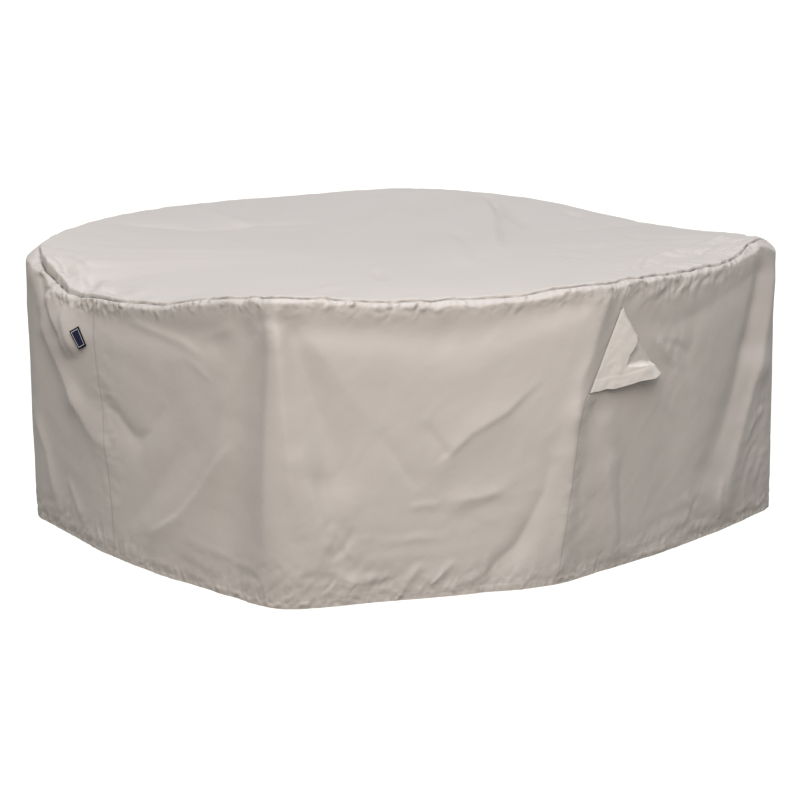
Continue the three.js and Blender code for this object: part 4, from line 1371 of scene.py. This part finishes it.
def hood_lift(across, along):
    """How far the hood stands off the skirt, in millimetres."""
    rising = np.minimum(across / RISE_END, 1)
    falling = np.clip((1 - across) / FALL_PART, 0, 1)
    lift = HOOD_STANDS_OFF * along * rising * (0.3 + 0.7 * falling)
    # The dent is a face that falls from a crease to the right edge
    crease = hood_crease(along)
    past_crease = (across - crease) / np.maximum(1 - crease, 1e-3)
    fallen = HOOD_STANDS_OFF * along * np.minimum(crease / RISE_END, 1)
    fallen *= 1 - np.clip(past_crease, 0, 1) ** 0.6
    dented = hood_dent(across, along)
    return lift * (1 - dented) + np.minimum(lift, fallen - 3) * dented


def hood_sheet():
    """The hood, laid on the right panel and lifted off it."""
    mesh, across, along = grid_shares(HOOD_COLUMNS, HOOD_ROWS)
    width = 0.002 + HOOD_WIDTH * (along**1.15 + 0.06 * np.sin(np.pi * along) ** 2)
    u = SEAMS[1].u + 0.001 + across * width
    foot = HOOD_LEFT + (HOOD_RIGHT - HOOD_LEFT) * across
    down = HOOD_POINT + (foot - HOOD_POINT) * along
    length = place_down(u, down)
    flat_down = down * CLOTH_LENGTH
    to_hem = foot * CLOTH_LENGTH - flat_down
    to_right = (1 - across) * width * SIDE_WIDTH
    to_left = across * width * SIDE_WIDTH
    lift = 2.6 + hood_lift(across, along)
    # The hem's second layer and the row that holds it, the thick right edge and its row, and the left edge
    lift += 0.5 * np.clip((HOOD_HEM - to_hem) / 1.5, 0, 1) - 0.8 * bell(to_hem - HOOD_HEM, 2.5)
    lift += 3.4 * bell(to_right, 5) - 1.2 * bell(to_right - 9, 3)
    lift -= 2.0 * bell(to_left, 4)
    crumpled = patch_relief(np.column_stack([to_left, flat_down]), HOOD_PATCHES)
    lift += crumpled * np.clip(to_left / 20, 0, 1) * np.clip(to_right / 12, 0.2, 1)
    wall_down = np.clip(down, 0, 1)
    outward = plan_outward(u + leaning(u, wall_down), wall_down)
    # Where the hood is free of the skirt, it doesn't follow the skirt's small folds
    free = (np.sin(np.pi * across) * along)[:, None]
    places = hung("skirt_right", u, length) * (1 - free) + hung("skirt_right", u, length, fine=False) * free
    places[:, 0:2] += outward * lift[:, None] * MM
    # Painted shade along the hood's sewn left edge and in its dent
    slit = 0.9 * bell(to_left, 4) + 0.17 * (hood_dent(across, along) > 0.5)
    lay(mesh, places, np.column_stack([round_length(u), -flat_down]), slit=slit)
    print("the hood stands off by", round(lift.max()), "mm")
    # The hood gets the lighter copy of the cloth, which is painted light
    return cloth_object("hood_cloth", mesh, painted_light_cloth, HOOD_THICKNESS * MM)


hood_cloth = hood_sheet()

# %% [markdown]
# ## The label
#
# A small black label is woven, folded under at its ends and sewn to the left side near the corner. It hangs
# crooked. Its border, a thin light frame and the dark field inside are bands at set distances from its edge,
# so its material works out that distance from the label's own UV map.

# %% Weave the label's material
LABEL_WIDTH, LABEL_HEIGHT = 46, 72
BANDS = [
    (0.0, linear(6, 6, 8)), (0.26, linear(200, 198, 204)),
    (0.35, linear(8, 8, 12)), (0.48, linear(31, 32, 55)),
]


def label_material():
    """Woven bands of colour at set distances from the label's edge, and its yarns."""
    material, tree, shader = new_material("label_cloth", {"Roughness": 0.85, "Specular IOR Level": 0.2})
    place = node(tree, "TexCoord", {})["UV"]
    split = node(tree, "SeparateXYZ", {"Vector": place})
    sides = []
    for axis, size in (("X", LABEL_WIDTH * MM), ("Y", LABEL_HEIGHT * MM)):
        far_side = calculated(tree, "SUBTRACT", size, split[axis])
        sides.append(calculated(tree, "MINIMUM", split[axis], far_side))
    from_edge = calculated(tree, "MINIMUM", sides[0], sides[1])

    # The bands have no soft change between them, and each starts at a share of the way to the middle
    bands = tree.nodes.new("ShaderNodeValToRGB")
    bands.color_ramp.interpolation = "CONSTANT"
    stops = bands.color_ramp.elements
    stops[1].position = 1.0
    for position, color in BANDS[1:]:
        stops.new(position).color = color
    stops[0].color = BANDS[0][1]
    stops[-1].color = BANDS[-1][1]
    tree.links.new(calculated(tree, "DIVIDE", from_edge, LABEL_WIDTH * MM / 2), bands.inputs["Fac"])

    yarns = node(tree, "TexWave", {"Vector": place, "Scale": 420}, bands_direction="Y")
    woven = mixed(tree, 0.35, bands.outputs["Color"], yarns["Color"], blend_type="MULTIPLY")
    tree.links.new(woven, shader.inputs["Base Color"])
    tree.links.new(bumped(tree, yarns["Fac"], 0.4, 0.0003), shader.inputs["Normal"])
    return material


label_cloth = label_material()
print("the label has", len(BANDS), "bands of colour")

# %% Sew the label on
LABEL_U, LABEL_DOWN, LABEL_TILT = 0.398 + SIDE_COUNT, 0.153, math.radians(28)
LABEL_COLUMNS, LABEL_ROWS = 20, 30
LABEL_STANDS_OFF = 5.0
LABEL_THICKNESS = 1.2

# Where the label is, one u is this many millimetres along the wall, and the wall is this high
U_LENGTH, WALL_HEIGHT = 1434, 814


def flat_between_corners(places, across, along):
    """The same points on the plain surface between the four corners. across and along are their shares."""
    def corner(is_right, is_foot):
        """The point that is nearest to a corner of the sheet."""
        at = np.argmin(np.abs(across - is_right) + np.abs(along - is_foot))
        return places[at]

    across, along = across[:, None], along[:, None]
    head = corner(0, 0) * (1 - across) + corner(1, 0) * across
    foot = corner(0, 1) * (1 - across) + corner(1, 1) * across
    return head * (1 - along) + foot * along


def label_sheet():
    """The label, laid crookedly on the left panel and nearly flat."""
    mesh, across, along = grid_shares(LABEL_COLUMNS, LABEL_ROWS)
    side = (across - 0.5) * LABEL_WIDTH
    below = (along - 0.5) * LABEL_HEIGHT
    u = LABEL_U + (side * math.cos(LABEL_TILT) + below * math.sin(LABEL_TILT)) / U_LENGTH
    down = LABEL_DOWN + (below * math.cos(LABEL_TILT) - 0.6 * side * math.sin(LABEL_TILT)) / WALL_HEIGHT
    to_edge = np.minimum(LABEL_WIDTH / 2 - np.abs(side), LABEL_HEIGHT / 2 - np.abs(below))
    lift = LABEL_STANDS_OFF - 1.0 * bell(to_edge, 1.6) + 5 * (0.5 - side / LABEL_WIDTH)
    lift += patch_relief(np.column_stack([side, below]), LABEL_PATCHES)
    outward = plan_outward(u + leaning(u, down), down)
    places = hung("skirt_left", u, place_down(u, down))
    places = 0.25 * places + 0.75 * flat_between_corners(places, across, along)
    places[:, 0:2] += outward * lift[:, None] * MM
    lay(mesh, places, np.column_stack([side + LABEL_WIDTH / 2, LABEL_HEIGHT / 2 - below]))
    return cloth_object("label_piece", mesh, label_cloth, LABEL_THICKNESS * MM)


label_piece = label_sheet()

# %% [markdown]
# ## Stitches
#
# Each seam has a row of top stitching beside it, and the hem is held by one. A stitch is a short thread that
# lies on the cloth and dips in at both ends. There are thousands, so one stitch has only twenty faces: it is
# the coarsest round shape that Blender makes, drawn out along the row.

# %% Sew the rows of stitches
STITCH_EVERY = 7.0
STITCH_LENGTH, STITCH_WIDTH, STITCH_DEPTH = 4.4, 0.6, 0.5

# A stitch lies along the line between two places on the cloth, this far apart, and a little above it
STITCH_STEP = 3.5
STITCH_RISE = 0.15

# How far the rows run from the rim seam and from the upright seams, and the length that an upright row leaves
# free at its two ends
RIM_ROW, SEAM_ROW = 5.5, 6
FREE_ABOVE, FREE_BELOW = 34, 6


def thread_material():
    """Thread in the cloth's colour, a little darker here and there."""
    material, tree, shader = new_material("thread", {"Roughness": 0.6})
    clouds = cloudy(tree, node(tree, "TexCoord", {})["Object"], 30.0, 2.0, 0.5)
    tint = mixed(tree, clouds, linear(150, 142, 131), linear(168, 160, 149))
    tree.links.new(tint, shader.inputs["Base Color"])
    return material


thread = thread_material()


def stitch_row(stitches, starts, ends, outwards):
    """Adds a stitch from each start to each end, lying on the cloth."""
    for start, end, outward in zip(starts, ends, outwards):
        run = Vector(end - start)
        middle = Vector((start + end) / 2) + Vector(outward) * STITCH_RISE * MM
        along = run.normalized()
        across = along.cross(Vector(outward)).normalized()
        turned = Matrix((along, across, along.cross(across))).transposed().to_4x4()
        size = [side / 2 * MM for side in (STITCH_LENGTH, STITCH_WIDTH, STITCH_DEPTH)]
        place = Matrix.Translation(middle) @ turned @ Matrix.Diagonal((*size, 1))
        bmesh.ops.create_icosphere(stitches, subdivisions=1, radius=1, matrix=place)


def on_panel(name, u, down_length):
    """Places on a panel, seen from the middle of the box, and the directions out of it."""
    down = np.clip(down_length / CLOTH_LENGTH, 0, 1)
    outward = plan_outward(u + leaning(u, down), down)
    places = from_middle(hung(name, u, down_length))
    return places, np.column_stack([outward, np.zeros(len(u))])


def sewn_row(stitches, name, u, down_length, step_u, step_down):
    """Adds a row of stitches to a panel, each from its place to a step beyond it."""
    starts, outward = on_panel(name, u, down_length)
    ends, _ = on_panel(name, u + step_u, down_length + step_down)
    stitch_row(stitches, starts, ends, outward)


def stitches_object(name, sew):
    """All the stitches of one kind. sew adds them to a bmesh."""
    stitches = bmesh.new()
    sew(stitches)
    mesh = mesh_of(name, stitches)
    smooth_in(mesh, thread)
    print(name, "has", len(mesh.polygons), "faces")
    return placed(name, mesh)


def panel_steps(panel):
    """Evenly spread places for the stitches across a panel."""
    count = int((round_length(panel.end) - round_length(panel.start)) / STITCH_EVERY)
    return np.linspace(panel.start, panel.end, count + 2)[1:-1]


def rim_stitches(stitches):
    """The row in each panel below the rim seam."""
    for name, panel in panels.items():
        u = panel_steps(panel)
        sewn_row(stitches, name, u, np.full_like(u, RIM_ROW), STITCH_STEP / SIDE_WIDTH, 0)


def hem_stitches(stitches):
    """The row that holds each panel's hem."""
    for name, panel in panels.items():
        u = panel_steps(panel)
        flange = flange_length(u)
        top = rim_value(u, 1) + rim_wave(u) - FLANGE_FALL * flange
        down = 1 - (HEM_HEIGHT + 2) / top
        sewn_row(stitches, name, u, place_down(u, down), STITCH_STEP / SIDE_WIDTH, 0)


def seam_stitches(stitches):
    """The row in each panel beside the seam at its start."""
    down = np.arange(FREE_ABOVE, CLOTH_LENGTH - FREE_BELOW, STITCH_EVERY)
    for name, panel in panels.items():
        u = np.full_like(down, panel.start + SEAM_ROW / SIDE_WIDTH)
        sewn_row(stitches, name, u, down, 0, STITCH_STEP)


rim_thread = stitches_object("rim_stitches", rim_stitches)
hem_thread = stitches_object("hem_stitches", hem_stitches)
seam_thread = stitches_object("seam_stitches", seam_stitches)

# %% [markdown]
# ## Floor and light
#
# The photograph shows the cover on plain white, so the camera doesn't see the floor, which only gives a
# little light back to the walls. One large soft lamp stands in front, almost in the middle and about as high
# as it is far, because the side that faces it is the brightest and the walls on both sides of it are darker.
# The sky lights the top from above, and is slightly blue. The room is white where the camera sees it, and
# dimmer where it lights the cover.

# %% Set up the floor, the room and the lamps
ROOM_LIGHT, ROOM_SEEN = 0.59, 1.12

floor_grid = bmesh.new()
bmesh.ops.create_grid(floor_grid, x_segments=1, y_segments=1, size=40)
floor_mesh = mesh_of("floor", floor_grid)
floor_finish = {"Roughness": 0.9, "Base Color": (0.15, 0.15, 0.15, 1)}
floor_mesh.materials.append(new_material("floor", floor_finish)[0])
floor = placed("floor", floor_mesh)
floor.visible_camera = False


def aimed(name, light, place, aim):
    """Stands a lamp at a place, so that it shines towards another."""
    made = placed(name, light)
    made.location = place
    made.rotation_euler = (Vector(aim) - Vector(place)).to_track_quat("-Z", "Y").to_euler()
    made.visible_camera = False


softbox = bpy.data.lights.new("softbox", "AREA")
softbox.shape = "RECTANGLE"
softbox.size, softbox.size_y = 4.0, 3.0
softbox.energy = 290
softbox.color = (1.0, 0.95, 0.975)
aimed("softbox", softbox, (-0.1, -4.9, 4.6), (0.1, -0.5, 0.5))

sky = bpy.data.lights.new("sky", "SUN")
sky.angle = math.radians(50)
sky.energy = 1.78
sky.color = (0.56, 0.7, 1.0)
aimed("sky", sky, (0.2, -0.3, 4), (0, 0, 0))

world = bpy.data.worlds.new("room")
world.use_nodes = True
bpy.context.scene.world = world
room = world.node_tree
background = room.nodes["Background"]
background.inputs["Color"].default_value = (1, 0.993, 0.947, 1)
seen = node(room, "LightPath", {})["Is Camera Ray"]
brightness = node(room, "MapRange", {"Value": seen, "To Min": ROOM_LIGHT, "To Max": ROOM_SEEN})
room.links.new(brightness["Result"], background.inputs["Strength"])
bpy.context.scene.view_settings.view_transform = "Standard"
print("lamps:", softbox.name, "and", sky.name)

# %% [markdown]
# ## Putting the sheets in place
#
# Each sheet is attached to the root and stands for its solid, which is hidden. The stitches are attached too.

for skirt_name, (panel, width) in skirts.items():
    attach(panel, "root")
    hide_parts(skirt_name)

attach(top_cloth, "root")
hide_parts("top_panel")

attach(hood_cloth, "root")
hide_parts("vent_hood")

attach(label_piece, "root")
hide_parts("label")

for stitches in (rim_thread, hem_thread, seam_thread):
    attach(stitches, "root")
